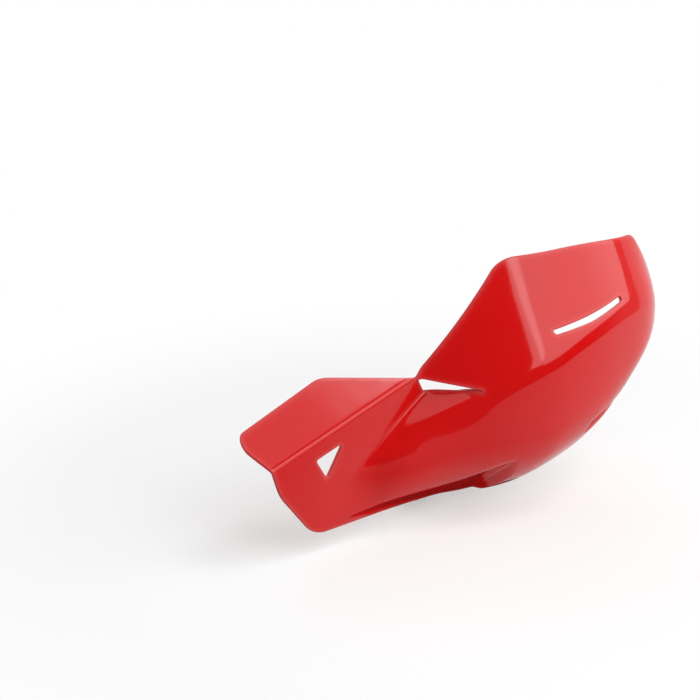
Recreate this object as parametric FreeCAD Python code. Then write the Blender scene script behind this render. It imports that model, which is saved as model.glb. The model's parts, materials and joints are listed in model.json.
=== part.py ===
import FreeCAD, Part
import math
import os

from FreeCAD import Vector

os.makedirs("parts", exist_ok=True)

# Left-hand guard of a motorcycle with its bar mount, in millimetres.
# The origin is the centre of the handlebar bore: X runs outboard along the bar, Y to the rider, Z up.

# Handlebar clamp
BAR_RADIUS = 11.1
CLAMP_WIDTH = 26.0
CLAMP_WALL = 8.0
CLAMP_SPLIT = 2.0
CLAMP_SCREW_SPREAD = 38.0
CAP_EAR = 9.0
EAR_MARGIN = 6.5
EAR_ROUND = 4.0
ARM_LENGTH = 55.0
ARM_RISE = 35.4
ARM_CHAMFER = 4.0

# Knuckles: barrels, their gaps and the link between them
KNUCKLE_RADIUS = 11.0
KNUCKLE_GAP = 0.3
LINK_WIDTH = 2 * KNUCKLE_RADIUS
LINK_RING = 14.0
LINK_DROP = 25.0
LINK_NECK = 17.0
LINK_ROUND = 3.0
BRACKET_BARREL = 18.0
BARREL_ROUND = 1.2

# Socket screws, washers and threaded inserts
SCREW_RADIUS = 3.0
SCREW_HEAD_RADIUS = 5.0
SCREW_HEAD = 6.0
SOCKET_ACROSS = 5.0
SOCKET_DEPTH = 3.0
WASHER_RADIUS = 6.0
WASHER = 1.2
INSERT_RADIUS = 4.5
INSERT_LENGTH = 10.0
INSERT_FLOOR = 1.5
RUNNING_CLEARANCE = 0.05
FIT_CLEARANCE = 0.05
HOLE_CLEARANCE = 0.4
HEAD_CLEARANCE = 0.8
HEAD_SINK = 0.8

# Guard bracket and the bolt that holds the guard
FLANGE_RADIUS = 11.0
FLANGE = 8.0
FLANGE_CLEARANCE = 2.5
BRACKET_DROP = 24.0
BRACKET_RIB = 3.5
BRACKET_BACK = 5.0
GUSSET_LEAN = 52.0
BOLT_RADIUS = 4.0
BOLT_ACROSS = 13.0
BOLT_HEAD = 5.3
NUT_BODY = 6.5
NUT_LENGTH = 15.0
NUT_CAVITY = 11.5
BOLT_WASHER_RADIUS = 8.0
BOLT_WASHER = 1.6

# Guard shell: wall, the slope past which it thins, fixing tab and the bolt's place from the notch on top
WALL = 3.0
WALL_SLOPE = 5.0
TAB = 5.0
TAB_RADIUS = 11.0
TAB_ROOT = 24.0
TAB_STEPS = 6
TAB_OUTBOARD = 29.3
BOLT_BEHIND = 30.0
BOLT_BELOW = 104.0

# Wing: front face and upper band, as forward slopes along X and Z
WING_FACE = (0.025, 0.03)
WING_BAND = (0.444, -1.21)

# Panel: bowed in plan, leaning back, wrapping round at its outer end
PANEL_REACH = 77.0
PANEL_CENTRE = 148.0
PANEL_BOW = 0.0037
PANEL_LEAN = 0.506
PANEL_WRAP_LENGTH = 79.0
PANEL_WRAP_POWER = 2.7
PANEL_WRAP_SHARE = 0.92

# Below the vent the panel's bow eases off towards the wing
PANEL_EASE = 0.000082
PANEL_EASE_FROM = 45.0
PANEL_EASE_POWER = 3

# Dent under the vent, with a ledge that tips further up beside the vent
DENT = (1.298, -1.404, -27.2)
LEDGE_FROM = (-8.0, -30.0)
LEDGE_TO = (33.0, -10.0)
LEDGE_TIP = 0.8
LEDGE_SOFT = 3.0
VENT_STEP = 4.0

# Belly: ridge heights and lower edge as stations (x, height) and (x, height, forward)
RIDGE = [(-70, -74), (-40, -55), (-10, -41.6), (20, -25.6), (50, -9.8), (80, 6), (110, 20.3), (138, 29.3),
         (165, 35), (190, 36), (208, 34), (224, 30), (240, 28)]
LOWER_EDGE = [(-70, -98.5, -5), (-9, -100, -3), (24, -98.5, 0), (46, -102, 3), (77, -103.5, 9),
              (101, -99.5, 11), (127, -91, 12), (153, -74, 11), (173, -52.5, 10), (192, -31, 10),
              (209, -10.5, 10), (224, 6, 9), (240, 9, 8)]
BELLY_SWELL = 2.0
BELLY_SHOULDER = 0.35
BELLY_TURN = 2.6
BELLY_OVER = -0.1
BELLY_TUCK = 0.6

# Flat under the belly where the mount passes
FLAT = (0.161, 1.184, 112.8)
FLAT_END = 58.0
FLAT_END_SLOPE = 2.0

# Soft joins between the faces, as forward depths
SOFT_WING = 3.0
SOFT_RIDGE = 3.5
SOFT_CREST = 16.0
SOFT_VALLEY = 6.0
SOFT_DENT = 1.5

# Outline seen from the front: x, height and corner radius from the wing tip over the top
OUTLINE_TOP = [(-135.5, -23, 9), (-60.5, 4.8, 30), (0.8, -0.2, 2.5), (66, 78.5, 26), (126, 83.5, 300),
               (186.5, 80.5, 13), (210, 43, 80), (222.5, 8, 16)]
OUTLINE_WING = [(-86, -100, 22), (-114.5, -62, 40), (-121.5, -40.5, 8)]
EDGE_ROUND = 90.0
EDGE_STATIONS = slice(2, -2)

# Openings seen from the front: x, height and corner radius
WING_HOLE = [(-84.5, -42.5, 1.5), (-62.3, -35.1, 1.5), (-75.3, -58.3, 1.5)]
VENT = [(3.4, -1.9, 0.8), (8.8, -12.2, 0.8), (36.2, -8.9, 0.4)]
UPPER_SLOT = [(87, 29.2, 1.2), (118, 36.2, 60), (150, 44.2, 1.2), (150.5, 41, 1.2), (119, 32.2, 60),
              (89.5, 26.6, 1.2)]
LOWER_SLOT = [(122, -46, 1), (154, -33.5, 60), (186, -17.5, 3.5), (186, -26, 3.5), (154, -44, 60),
              (119.5, -57, 1)]

# Spacing of the points that carry the shell's faces, how far the faces run past the outline,
# the most of a side that a corner's arc may take, and the gap that counts as touching
GRID = 3.0
GRID_MARGIN = 6.0
CORNER_SHARE = 0.48
TOUCH = 1e-6

AXIS_X = Vector(1, 0, 0)
AXIS_Y = Vector(0, 1, 0)
AXIS_Z = Vector(0, 0, 1)


# Places that follow from the sizes above
CLAMP_RADIUS = BAR_RADIUS + CLAMP_WALL
HALF_CLAMP = CLAMP_WIDTH / 2
PITCH_Y = -ARM_LENGTH * math.cos(math.radians(ARM_RISE))
PITCH_Z = ARM_LENGTH * math.sin(math.radians(ARM_RISE))
LINK_OUT = -HALF_CLAMP - KNUCKLE_GAP
LINK_IN = LINK_OUT - LINK_WIDTH
LINK_X = (LINK_OUT + LINK_IN) / 2
ROLL_Z = PITCH_Z - LINK_DROP
RING_FRONT = PITCH_Y - LINK_RING / 2
RING_REAR = PITCH_Y + LINK_RING / 2
BARREL_FRONT = RING_REAR + KNUCKLE_GAP
BARREL_REAR = BARREL_FRONT + BRACKET_BARREL
HEAD_POCKET = SCREW_HEAD + WASHER + HEAD_SINK
FLANGE_OUT = LINK_X - KNUCKLE_RADIUS - FLANGE_CLEARANCE
FLANGE_IN = FLANGE_OUT - FLANGE
BOLT_Y = PITCH_Y
BOLT_Z = ROLL_Z - BRACKET_DROP
TAB_IN = FLANGE_IN - TAB
NOTCH = Vector(FLANGE_IN - TAB_OUTBOARD, BOLT_Y - BOLT_BEHIND, BOLT_Z + BOLT_BELOW)


def rod(radius, start, axis, length):
    """Solid cylinder from a start point along an axis."""
    return Part.makeCylinder(radius, length, start, axis)


def ring(outer, inner, start, axis, length):
    """Tube or washer from a start point along an axis."""
    return rod(outer, start, axis, length).cut(rod(inner, start, axis, length))


def block(x, y, z):
    """Box between three pairs of limits."""
    return Part.makeBox(x[1] - x[0], y[1] - y[0], z[1] - z[0], Vector(x[0], y[0], z[0]))


def prism(points, axis, length):
    """Solid of a flat polygon moved along an axis."""
    return Part.Face(Part.makePolygon(points + points[:1])).extrude(axis * length)


def hexagon(across, start, axis, side, length):
    """Hexagonal prism whose first corner points along a side direction."""
    turn = axis.cross(side)
    reach = across / math.sqrt(3)
    corners = []
    for k in range(6):
        angle = k * math.pi / 3
        corners.append(start + side * (reach * math.cos(angle)) + turn * (reach * math.sin(angle)))
    return prism(corners, axis, length)


def rounded(solid, radius, chosen):
    """Solid with a fillet on the edges that a test picks."""
    edges = [edge for edge in solid.Edges if chosen(edge)]
    return solid.makeFillet(radius, edges)


def socket_screw(seat, axis, length):
    """Socket-head screw whose shank runs along an axis from under its head."""
    side = AXIS_X if abs(axis.x) < 0.5 else AXIS_Y
    head = rod(SCREW_HEAD_RADIUS, seat, axis * -1, SCREW_HEAD)
    head = head.fuse(rod(SCREW_RADIUS, seat, axis, length))
    top = seat - axis * SCREW_HEAD
    return head.cut(hexagon(SOCKET_ACROSS, top, axis, side, SOCKET_DEPTH)).removeSplitter()


def screw_washer(seat, axis):
    """Plain washer that lies on a seat under a screw's head, its far face up the axis."""
    return ring(WASHER_RADIUS, SCREW_RADIUS + RUNNING_CLEARANCE, seat, axis * -1, WASHER)


def insert(mouth, axis):
    """Threaded insert sunk from a mouth along an axis."""
    return ring(INSERT_RADIUS - FIT_CLEARANCE, SCREW_RADIUS + FIT_CLEARANCE, mouth, axis, INSERT_LENGTH)


def insert_hole(mouth, axis):
    """Blind hole for an insert."""
    return rod(INSERT_RADIUS, mouth, axis, INSERT_LENGTH + INSERT_FLOOR)


def on_arm(shape):
    """Shape built with the clamp's arm level, tipped up to the arm's rise."""
    turned = shape.copy()
    turned.rotate(Vector(0, 0, 0), AXIS_X, -ARM_RISE)
    return turned


# Clamp body and cap, built with the arm along -Y
ear_reach = CLAMP_SCREW_SPREAD / 2 + EAR_MARGIN
body_ear = INSERT_LENGTH + INSERT_FLOOR + CLAMP_SPLIT
clamp_x = (-HALF_CLAMP, HALF_CLAMP)
screw_heights = (-CLAMP_SCREW_SPREAD / 2, CLAMP_SCREW_SPREAD / 2)
clamp_start = Vector(-HALF_CLAMP, 0, 0)
pitch_start = Vector(-HALF_CLAMP, -ARM_LENGTH, 0)
clamp_screw_length = WASHER + CAP_EAR + CLAMP_SPLIT / 2 + INSERT_LENGTH


def clamp_half(depth):
    """Ring with two ears, the ears reaching a depth from the split."""
    lugs = block(clamp_x, (-depth, depth), (-ear_reach, ear_reach))
    lugs = rounded(lugs, EAR_ROUND, lambda e: e.BoundBox.YLength < TOUCH and e.BoundBox.ZLength < TOUCH)
    return lugs.fuse(rod(CLAMP_RADIUS, clamp_start, AXIS_X, CLAMP_WIDTH))


def half_space(sign):
    """Everything on one side of the clamp's split."""
    far = sign * (ARM_LENGTH + CLAMP_RADIUS)
    near = sign * CLAMP_SPLIT / 2
    tall = ear_reach + CLAMP_RADIUS
    return block(clamp_x, (min(near, far), max(near, far)), (-tall, tall))


bore = rod(BAR_RADIUS, clamp_start, AXIS_X, CLAMP_WIDTH)
arm = block(clamp_x, (-ARM_LENGTH, 0), (-KNUCKLE_RADIUS, KNUCKLE_RADIUS))
arm = arm.fuse(rod(KNUCKLE_RADIUS, pitch_start, AXIS_X, CLAMP_WIDTH)).removeSplitter()
arm_face = [e for e in arm.Edges if e.BoundBox.XMin > HALF_CLAMP - TOUCH]
arm_end = [e for e in arm_face if e.BoundBox.YMin < -ARM_LENGTH - TOUCH]
arm = arm.makeChamfer(ARM_CHAMFER, arm_end)
clamp_body = clamp_half(body_ear).fuse(arm).common(half_space(-1)).cut(bore)
clamp_cap = clamp_half(CAP_EAR).common(half_space(1)).cut(bore)
pitch_pocket = Vector(HALF_CLAMP - HEAD_POCKET, -ARM_LENGTH, 0)
clamp_body = clamp_body.cut(rod(SCREW_RADIUS + RUNNING_CLEARANCE, pitch_start, AXIS_X, CLAMP_WIDTH))
clamp_body = clamp_body.cut(rod(WASHER_RADIUS + HEAD_CLEARANCE, pitch_pocket, AXIS_X, HEAD_POCKET))
clamp_screws = []
clamp_washers = []
clamp_inserts = []
for height in screw_heights:
    mouth = Vector(0, -CLAMP_SPLIT / 2, height)
    seat = Vector(0, CAP_EAR, height)
    under_head = seat + AXIS_Y * WASHER
    clamp_body = clamp_body.cut(insert_hole(mouth, AXIS_Y * -1))
    clamp_cap = clamp_cap.cut(rod(SCREW_RADIUS + HOLE_CLEARANCE, Vector(0, 0, height), AXIS_Y, CAP_EAR))
    clamp_cap = clamp_cap.cut(rod(WASHER_RADIUS + HEAD_CLEARANCE, seat, AXIS_Y, CLAMP_RADIUS))
    clamp_screws.append(socket_screw(under_head, AXIS_Y * -1, clamp_screw_length))
    clamp_washers.append(screw_washer(seat, AXIS_Y * -1))
    clamp_inserts.append(insert(mouth, AXIS_Y * -1))
clamp_body = on_arm(clamp_body.removeSplitter())
clamp_cap = on_arm(clamp_cap.removeSplitter())
clamp_screws = on_arm(Part.makeCompound(clamp_screws))
clamp_washers = on_arm(Part.makeCompound(clamp_washers))
clamp_inserts = on_arm(Part.makeCompound(clamp_inserts))

# Link: a barrel along the bar above a ring along Y
pitch_mouth = Vector(LINK_OUT, PITCH_Y, PITCH_Z)
roll_mouth = Vector(LINK_X, RING_REAR, ROLL_Z)
link_barrel = rod(KNUCKLE_RADIUS, Vector(LINK_IN, PITCH_Y, PITCH_Z), AXIS_X, LINK_WIDTH)
link_barrel = rounded(link_barrel, LINK_ROUND, lambda e: e.BoundBox.XMax < LINK_IN + TOUCH)
link_ring = rod(KNUCKLE_RADIUS, Vector(LINK_X, RING_FRONT, ROLL_Z), AXIS_Y, LINK_RING)
link_ring = rounded(link_ring, BARREL_ROUND, lambda e: e.BoundBox.YMax < RING_FRONT + TOUCH)
neck_x = (LINK_X - LINK_NECK / 2, LINK_X + LINK_NECK / 2)
knuckle_link = link_barrel.fuse(link_ring).fuse(block(neck_x, (RING_FRONT, RING_REAR), (ROLL_Z, PITCH_Z)))
knuckle_link = knuckle_link.cut(insert_hole(pitch_mouth, AXIS_X * -1))
knuckle_link = knuckle_link.cut(insert_hole(roll_mouth, AXIS_Y * -1)).removeSplitter()
pitch_insert = insert(pitch_mouth, AXIS_X * -1)
roll_insert = insert(roll_mouth, AXIS_Y * -1)

# Screws of the two knuckles; each is held by its insert and turns in the barrel it crosses
pitch_seat = Vector(HALF_CLAMP - HEAD_POCKET + KNUCKLE_GAP, PITCH_Y, PITCH_Z)
roll_seat = Vector(LINK_X, BARREL_REAR - HEAD_POCKET + KNUCKLE_GAP, ROLL_Z)
pitch_washer = screw_washer(pitch_seat, AXIS_X * -1)
roll_washer = screw_washer(roll_seat, AXIS_Y * -1)
pitch_length = pitch_seat.x + WASHER - LINK_OUT + INSERT_LENGTH
roll_length = roll_seat.y + WASHER - RING_REAR + INSERT_LENGTH
pitch_screw = socket_screw(pitch_seat + AXIS_X * WASHER, AXIS_X * -1, pitch_length)
roll_screw = socket_screw(roll_seat + AXIS_Y * WASHER, AXIS_Y * -1, roll_length)

# Guard bracket: flange on the tab, hollow gusset and the barrel behind the link's ring
bolt_line = Vector(FLANGE_IN, BOLT_Y, BOLT_Z)
barrel_y = (BARREL_FRONT, BARREL_REAR)
flange_x = (FLANGE_IN, FLANGE_OUT)
flange_z = (BOLT_Z - FLANGE_RADIUS, BOLT_Z + FLANGE_RADIUS)
roll_start = Vector(LINK_X, BARREL_FRONT, ROLL_Z)
barrel = rod(KNUCKLE_RADIUS, roll_start, AXIS_Y, BRACKET_BARREL)
barrel = rounded(barrel, BARREL_ROUND, lambda e: e.BoundBox.YMin > BARREL_REAR - TOUCH)
lean_x = KNUCKLE_RADIUS * math.cos(math.radians(GUSSET_LEAN))
lean_z = KNUCKLE_RADIUS * math.sin(math.radians(GUSSET_LEAN))
hollow_y = BARREL_FRONT + BRACKET_BACK
hollow_x = FLANGE_IN + BRACKET_RIB
gusset = [
    Vector(FLANGE_IN, BARREL_FRONT, flange_z[0]),
    Vector(FLANGE_OUT, BARREL_FRONT, flange_z[0]),
    Vector(LINK_X + lean_x, BARREL_FRONT, ROLL_Z - lean_z),
    Vector(LINK_X, BARREL_FRONT, ROLL_Z),
    Vector(LINK_X - lean_x, BARREL_FRONT, ROLL_Z + lean_z),
    Vector(FLANGE_IN, BARREL_FRONT, flange_z[1] + BRACKET_RIB),
]
hollow = [
    Vector(hollow_x, hollow_y, flange_z[0] + 2 * BRACKET_RIB),
    Vector(LINK_X - lean_x, hollow_y, ROLL_Z - lean_z),
    Vector(hollow_x, hollow_y, flange_z[1] - BRACKET_RIB),
]
web = prism(gusset, AXIS_Y, BRACKET_BARREL).cut(prism(hollow, AXIS_Y, BRACKET_BARREL))
web = web.cut(rod(KNUCKLE_RADIUS - BARREL_ROUND, roll_start, AXIS_Y, BRACKET_BARREL))
plate = rod(FLANGE_RADIUS, bolt_line, AXIS_X, FLANGE)
plate = plate.fuse(block(flange_x, (BOLT_Y, BARREL_FRONT + BRACKET_BACK), flange_z))
guard_bracket = plate.fuse(web).fuse(barrel)
guard_bracket = guard_bracket.cut(rod(BOLT_RADIUS + HOLE_CLEARANCE, bolt_line, AXIS_X, FLANGE))
head_start = bolt_line + AXIS_X * (FLANGE - BOLT_HEAD)
bolt_room = hexagon(BOLT_ACROSS + 2 * FIT_CLEARANCE, head_start, AXIS_X, AXIS_Z, BOLT_HEAD + KNUCKLE_RADIUS)
guard_bracket = guard_bracket.cut(bolt_room)
roll_pocket = Vector(LINK_X, BARREL_REAR - HEAD_POCKET, ROLL_Z)
guard_bracket = guard_bracket.cut(rod(SCREW_RADIUS + RUNNING_CLEARANCE, roll_start, AXIS_Y, BRACKET_BARREL))
guard_bracket = guard_bracket.cut(rod(WASHER_RADIUS + HEAD_CLEARANCE, roll_pocket, AXIS_Y, HEAD_POCKET))
guard_bracket = guard_bracket.removeSplitter()

# Bolt through the tab, with its washer and acorn nut on the inboard side
nut_seat = Vector(TAB_IN - BOLT_WASHER, BOLT_Y, BOLT_Z)
inboard = AXIS_X * -1
tab_bolt = hexagon(BOLT_ACROSS, head_start, AXIS_X, AXIS_Z, BOLT_HEAD)
bolt_reach = head_start.x - nut_seat.x + NUT_CAVITY - HEAD_SINK
tab_bolt = tab_bolt.fuse(rod(BOLT_RADIUS, head_start, inboard, bolt_reach)).removeSplitter()
tab_face = Vector(TAB_IN, BOLT_Y, BOLT_Z)
tab_washer = ring(BOLT_WASHER_RADIUS, BOLT_RADIUS + HOLE_CLEARANCE, tab_face, inboard, BOLT_WASHER)
dome_radius = BOLT_ACROSS / 2 - FIT_CLEARANCE
dome_start = nut_seat + inboard * NUT_BODY
dome_straight = NUT_LENGTH - NUT_BODY - dome_radius
nut_hex = hexagon(BOLT_ACROSS, nut_seat, inboard, AXIS_Z, NUT_BODY)
nut_cone = Part.makeCone(BOLT_ACROSS / 2, BOLT_ACROSS / 2 + NUT_BODY, NUT_BODY, nut_seat, inboard)
nut_cone_top = Part.makeCone(BOLT_ACROSS / 2 + NUT_BODY, BOLT_ACROSS / 2, NUT_BODY, nut_seat, inboard)
nut_shift = BOLT_ACROSS / math.sqrt(3) - BOLT_ACROSS / 2
nut_cone.translate(AXIS_X * nut_shift / 2)
nut_cone_top.translate(AXIS_X * -nut_shift / 2)
acorn_nut = nut_hex.common(nut_cone).common(nut_cone_top)
acorn_nut = acorn_nut.fuse(rod(dome_radius, dome_start, inboard, dome_straight))
acorn_nut = acorn_nut.fuse(Part.makeSphere(dome_radius, dome_start + inboard * dome_straight))
acorn_nut = acorn_nut.cut(rod(BOLT_RADIUS + FIT_CLEARANCE, nut_seat, inboard, NUT_CAVITY)).removeSplitter()


# Guard shell: its outer and inner faces are forward distances over the front view, from the notch
def soft_max(a, b, blend):
    """Larger of two values with a rounded join."""
    share = min(max(0.5 + 0.5 * (a - b) / blend, 0.0), 1.0)
    return b + (a - b) * share + blend * share * (1 - share)


def soft_min(a, b, blend):
    """Smaller of two values with a rounded join."""
    return -soft_max(-a, -b, blend)


def smooth_step(share):
    """Rise from 0 to 1 with level ends."""
    share = min(max(share, 0.0), 1.0)
    return share * share * (3 - 2 * share)


def along(stations, x, column):
    """Smooth curve through one column of the stations at x."""
    x = min(max(x, stations[0][0]), stations[-1][0])
    last = len(stations) - 2
    k = min(sum(1 for s in stations if s[0] <= x) - 1, last)

    def slope(i):
        low, high = max(i - 1, 0), min(i + 1, last + 1)
        return (stations[high][column] - stations[low][column]) / (stations[high][0] - stations[low][0])

    width = stations[k + 1][0] - stations[k][0]
    t = (x - stations[k][0]) / width
    start, end = stations[k][column], stations[k + 1][column]
    bend = (1 - t) * (slope(k) * width - (end - start)) - t * (slope(k + 1) * width - (end - start))
    return start + t * (end - start) + t * (1 - t) * bend


def wing_face(x, z):
    return WING_FACE[0] * x + WING_FACE[1] * z


def wing_band(x, z):
    return WING_BAND[0] * x + WING_BAND[1] * z


def panel(x, z):
    if x < PANEL_CENTRE:
        reach = PANEL_REACH - PANEL_BOW * (PANEL_CENTRE - x) ** 2
    else:
        share = min((x - PANEL_CENTRE) / PANEL_WRAP_LENGTH, PANEL_WRAP_SHARE)
        past = (x - PANEL_CENTRE) / PANEL_WRAP_LENGTH - share
        round_off = math.sqrt(1 - share ** PANEL_WRAP_POWER)
        fall = PANEL_WRAP_POWER * share ** (PANEL_WRAP_POWER - 1) / (2 * round_off)
        reach = PANEL_REACH * (round_off - fall * past)
    return reach - PANEL_LEAN * z


def low_panel(x, z):
    """Panel below the vent, its bow eased off towards the wing."""
    return panel(x, z) + PANEL_EASE * max(PANEL_EASE_FROM - x, 0.0) ** PANEL_EASE_POWER


def dent(x, z):
    run_x = LEDGE_TO[0] - LEDGE_FROM[0]
    run_z = LEDGE_TO[1] - LEDGE_FROM[1]
    rise = (run_x * (z - LEDGE_FROM[1]) - run_z * (x - LEDGE_FROM[0])) / math.hypot(run_x, run_z)
    ledge = LEDGE_TIP * soft_max(rise, 0.0, LEDGE_SOFT)
    return DENT[0] * x + DENT[1] * z + DENT[2] - ledge


def belly(x, z):
    ridge = along(RIDGE, x, 1)
    edge = along(LOWER_EDGE, x, 1)
    edge_reach = along(LOWER_EDGE, x, 2)
    ridge_reach = soft_min(low_panel(x, ridge), dent(x, ridge), SOFT_CREST)
    shoulder = ridge - BELLY_SHOULDER * (ridge - edge)
    full = ridge_reach + BELLY_SWELL
    if z > ridge:
        return ridge_reach + BELLY_OVER * (z - ridge)
    if z > shoulder:
        return full - BELLY_SWELL * ((z - shoulder) / (ridge - shoulder)) ** 2
    turn = (shoulder - z) / (shoulder - edge)
    if turn < 1:
        tuck = turn ** BELLY_TURN
    else:
        tuck = 1 + BELLY_TURN * BELLY_TUCK * (1 - math.exp((1 - turn) / BELLY_TUCK))
    return edge_reach + (full - edge_reach) * (1 - tuck)


def flat(x, z):
    return FLAT[0] * x + FLAT[1] * z + FLAT[2] + FLAT_END_SLOPE * max(x - FLAT_END, 0.0)


def face_depth(face, x, z, skin):
    """Forward distance of a face sunk by a skin measured square to it."""
    step = GRID / 4
    across = (face(x + step, z) - face(x - step, z)) / (2 * step)
    upward = (face(x, z + step) - face(x, z - step)) / (2 * step)
    steep = across * across + upward * upward
    return face(x, z) - skin * math.sqrt(1 + steep / (1 + steep / WALL_SLOPE ** 2))


def vent_line(x):
    """Height just under the vent's upper edge, where the panel gives way to the dent."""
    corner, _, tip = VENT
    return corner[1] + (tip[1] - corner[1]) * (x - corner[0]) / (tip[0] - corner[0]) - VENT_STEP / 2


def forward(x, z, skin):
    """Forward distance of the shell's face, sunk by a skin, at a point of the front view."""
    wing = soft_min(face_depth(wing_band, x, z, skin), face_depth(wing_face, x, z, skin), SOFT_WING)
    front = face_depth(panel, x, z, skin)
    under = soft_min(face_depth(belly, x, z, skin), face_depth(flat, x, z, skin), SOFT_DENT)
    hollowed = soft_min(face_depth(dent, x, z, skin), face_depth(low_panel, x, z, skin), SOFT_DENT)
    upper = soft_min(front, under, SOFT_RIDGE)
    lower = soft_min(hollowed, under, SOFT_RIDGE)
    share = smooth_step((z - vent_line(x)) / VENT_STEP + 0.5)
    return soft_max(wing, lower + (upper - lower) * share, SOFT_VALLEY)


def outline(corners):
    """Closed wire of straight runs and tangent arcs round the corners of the front view."""
    points = [Vector(x, 0, z) for x, z, radius in corners]
    count = len(points)
    ends = []
    for k in range(count):
        here = points[k]
        before = points[k - 1] - here
        after = points[(k + 1) % count] - here
        half = before.getAngle(after) / 2
        reach = min(corners[k][2] / math.tan(half), CORNER_SHARE * min(before.Length, after.Length))
        before.normalize()
        after.normalize()
        middle = here + (before + after).normalize() * (reach / math.cos(half) - reach * math.tan(half))
        ends.append((here + before * reach, middle, here + after * reach))
    edges = []
    for k in range(count):
        first, middle, last = ends[k]
        edges.append(Part.Arc(first, middle, last).toShape())
        edges.append(Part.makeLine(last, ends[(k + 1) % count][0]))
    return Part.Wire(edges)


def through(corners, deep):
    """Solid of a front-view outline, running through the whole shell."""
    solid = Part.Face(outline(corners)).extrude(AXIS_Y * deep)
    solid.translate(AXIS_Y * (-deep / 2))
    return solid


def skin_face(columns, rows, skin):
    """Smooth face through a grid of the shell's points."""
    grid = [[Vector(x, -forward(x, z, skin), z) for z in rows] for x in columns]
    surface = Part.BSplineSurface()
    surface.interpolate(grid)
    return surface.toShape()


def spaced(low, high):
    """Evenly spaced values near the grid's spacing."""
    count = math.ceil((high - low) / GRID)
    return [low + (high - low) * k / count for k in range(count + 1)]


edge_corners = [(x, z, EDGE_ROUND) for x, z, reach in reversed(LOWER_EDGE[EDGE_STATIONS])]
rim = OUTLINE_TOP + edge_corners + OUTLINE_WING
columns = spaced(min(c[0] for c in rim) - GRID_MARGIN, max(c[0] for c in rim) + GRID_MARGIN)
rows = spaced(min(c[1] for c in rim) - GRID_MARGIN, max(c[1] for c in rim) + GRID_MARGIN)
deep = 4 * (PANEL_REACH + BOLT_BELOW)
in_front = skin_face(columns, rows, 0.0).extrude(AXIS_Y * -deep)
behind = skin_face(columns, rows, WALL).extrude(AXIS_Y * deep)
guard_shell = through(rim, deep).cut(in_front).cut(behind)
for hole in (WING_HOLE, VENT, UPPER_SLOT, LOWER_SLOT):
    guard_shell = guard_shell.cut(through(hole, deep))

# Tab behind the belly's lower edge that carries the bolt
tab_middle = TAB_OUTBOARD - TAB / 2
tab_low = along(LOWER_EDGE, tab_middle, 1) + WALL / 2
tab_x = TAB_OUTBOARD - TAB
root = [tab_low + TAB_ROOT * k / TAB_STEPS for k in range(TAB_STEPS + 1)]
tab_points = [Vector(tab_x, -forward(tab_middle, z, WALL / 2), z) for z in root]
tab_points += [Vector(tab_x, BOLT_BEHIND, side * TAB_RADIUS - BOLT_BELOW) for side in (1, -1)]
tab_eye = Vector(tab_x, BOLT_BEHIND, -BOLT_BELOW)
tab = prism(tab_points, AXIS_X, TAB).fuse(rod(TAB_RADIUS, tab_eye, AXIS_X, TAB)).removeSplitter()
guard_shell = guard_shell.fuse(tab).cut(rod(BOLT_RADIUS + HOLE_CLEARANCE, tab_eye, AXIS_X, TAB))
guard_shell = guard_shell.removeSplitter()
guard_shell.translate(NOTCH)

nodes = {
    "guard_shell": guard_shell,
    "tab_bolt": tab_bolt,
    "tab_washer": tab_washer,
    "acorn_nut": acorn_nut,
    "guard_bracket": guard_bracket,
    "roll_screw": roll_screw,
    "roll_washer": roll_washer,
    "roll_insert": roll_insert,
    "knuckle_link": knuckle_link,
    "pitch_screw": pitch_screw,
    "pitch_washer": pitch_washer,
    "pitch_insert": pitch_insert,
    "clamp_body": clamp_body,
    "clamp_cap": clamp_cap,
    "clamp_screws": clamp_screws,
    "clamp_washers": clamp_washers,
    "clamp_inserts": clamp_inserts,
}
for name, shape in nodes.items():
    shape.exportStep("parts/" + name + ".step")
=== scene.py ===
import json
import logging
import math
from collections.abc import Callable
from dataclasses import dataclass
from enum import Enum

import bmesh
import bpy
import numpy as np
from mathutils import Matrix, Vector
from mathutils.geometry import delaunay_2d_cdt


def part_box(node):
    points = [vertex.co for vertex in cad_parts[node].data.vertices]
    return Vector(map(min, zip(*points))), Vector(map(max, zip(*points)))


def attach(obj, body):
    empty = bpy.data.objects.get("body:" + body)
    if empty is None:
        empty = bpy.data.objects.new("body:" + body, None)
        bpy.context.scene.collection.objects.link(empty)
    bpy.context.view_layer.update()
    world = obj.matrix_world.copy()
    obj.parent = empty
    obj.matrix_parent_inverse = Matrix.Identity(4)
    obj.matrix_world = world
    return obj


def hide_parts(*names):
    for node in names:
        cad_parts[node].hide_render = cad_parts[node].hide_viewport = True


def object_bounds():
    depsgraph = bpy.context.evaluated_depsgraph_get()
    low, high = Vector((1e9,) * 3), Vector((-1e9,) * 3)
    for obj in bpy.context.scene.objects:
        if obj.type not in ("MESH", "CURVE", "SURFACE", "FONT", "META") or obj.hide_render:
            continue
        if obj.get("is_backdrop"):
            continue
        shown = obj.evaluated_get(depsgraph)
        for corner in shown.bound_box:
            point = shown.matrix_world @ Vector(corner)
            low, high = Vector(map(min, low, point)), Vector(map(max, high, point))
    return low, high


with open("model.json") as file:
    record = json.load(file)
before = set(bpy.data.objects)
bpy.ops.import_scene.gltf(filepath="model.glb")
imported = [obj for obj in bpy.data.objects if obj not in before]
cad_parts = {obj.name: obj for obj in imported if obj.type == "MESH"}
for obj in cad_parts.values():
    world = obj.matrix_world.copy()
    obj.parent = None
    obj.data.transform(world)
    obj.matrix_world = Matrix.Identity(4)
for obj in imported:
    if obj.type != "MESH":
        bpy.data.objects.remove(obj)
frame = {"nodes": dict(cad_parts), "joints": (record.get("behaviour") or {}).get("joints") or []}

LOG = logging.getLogger("hand_guard")
RIM = "rim"
COVER = "cover"
MM = 0.001
TURN = 2 * math.pi
SHARP = math.radians(40)
MERGE = 0.001 * MM
TINY = 1e-9
Array = np.ndarray
Colour = tuple[float, float, float, float]
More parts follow.
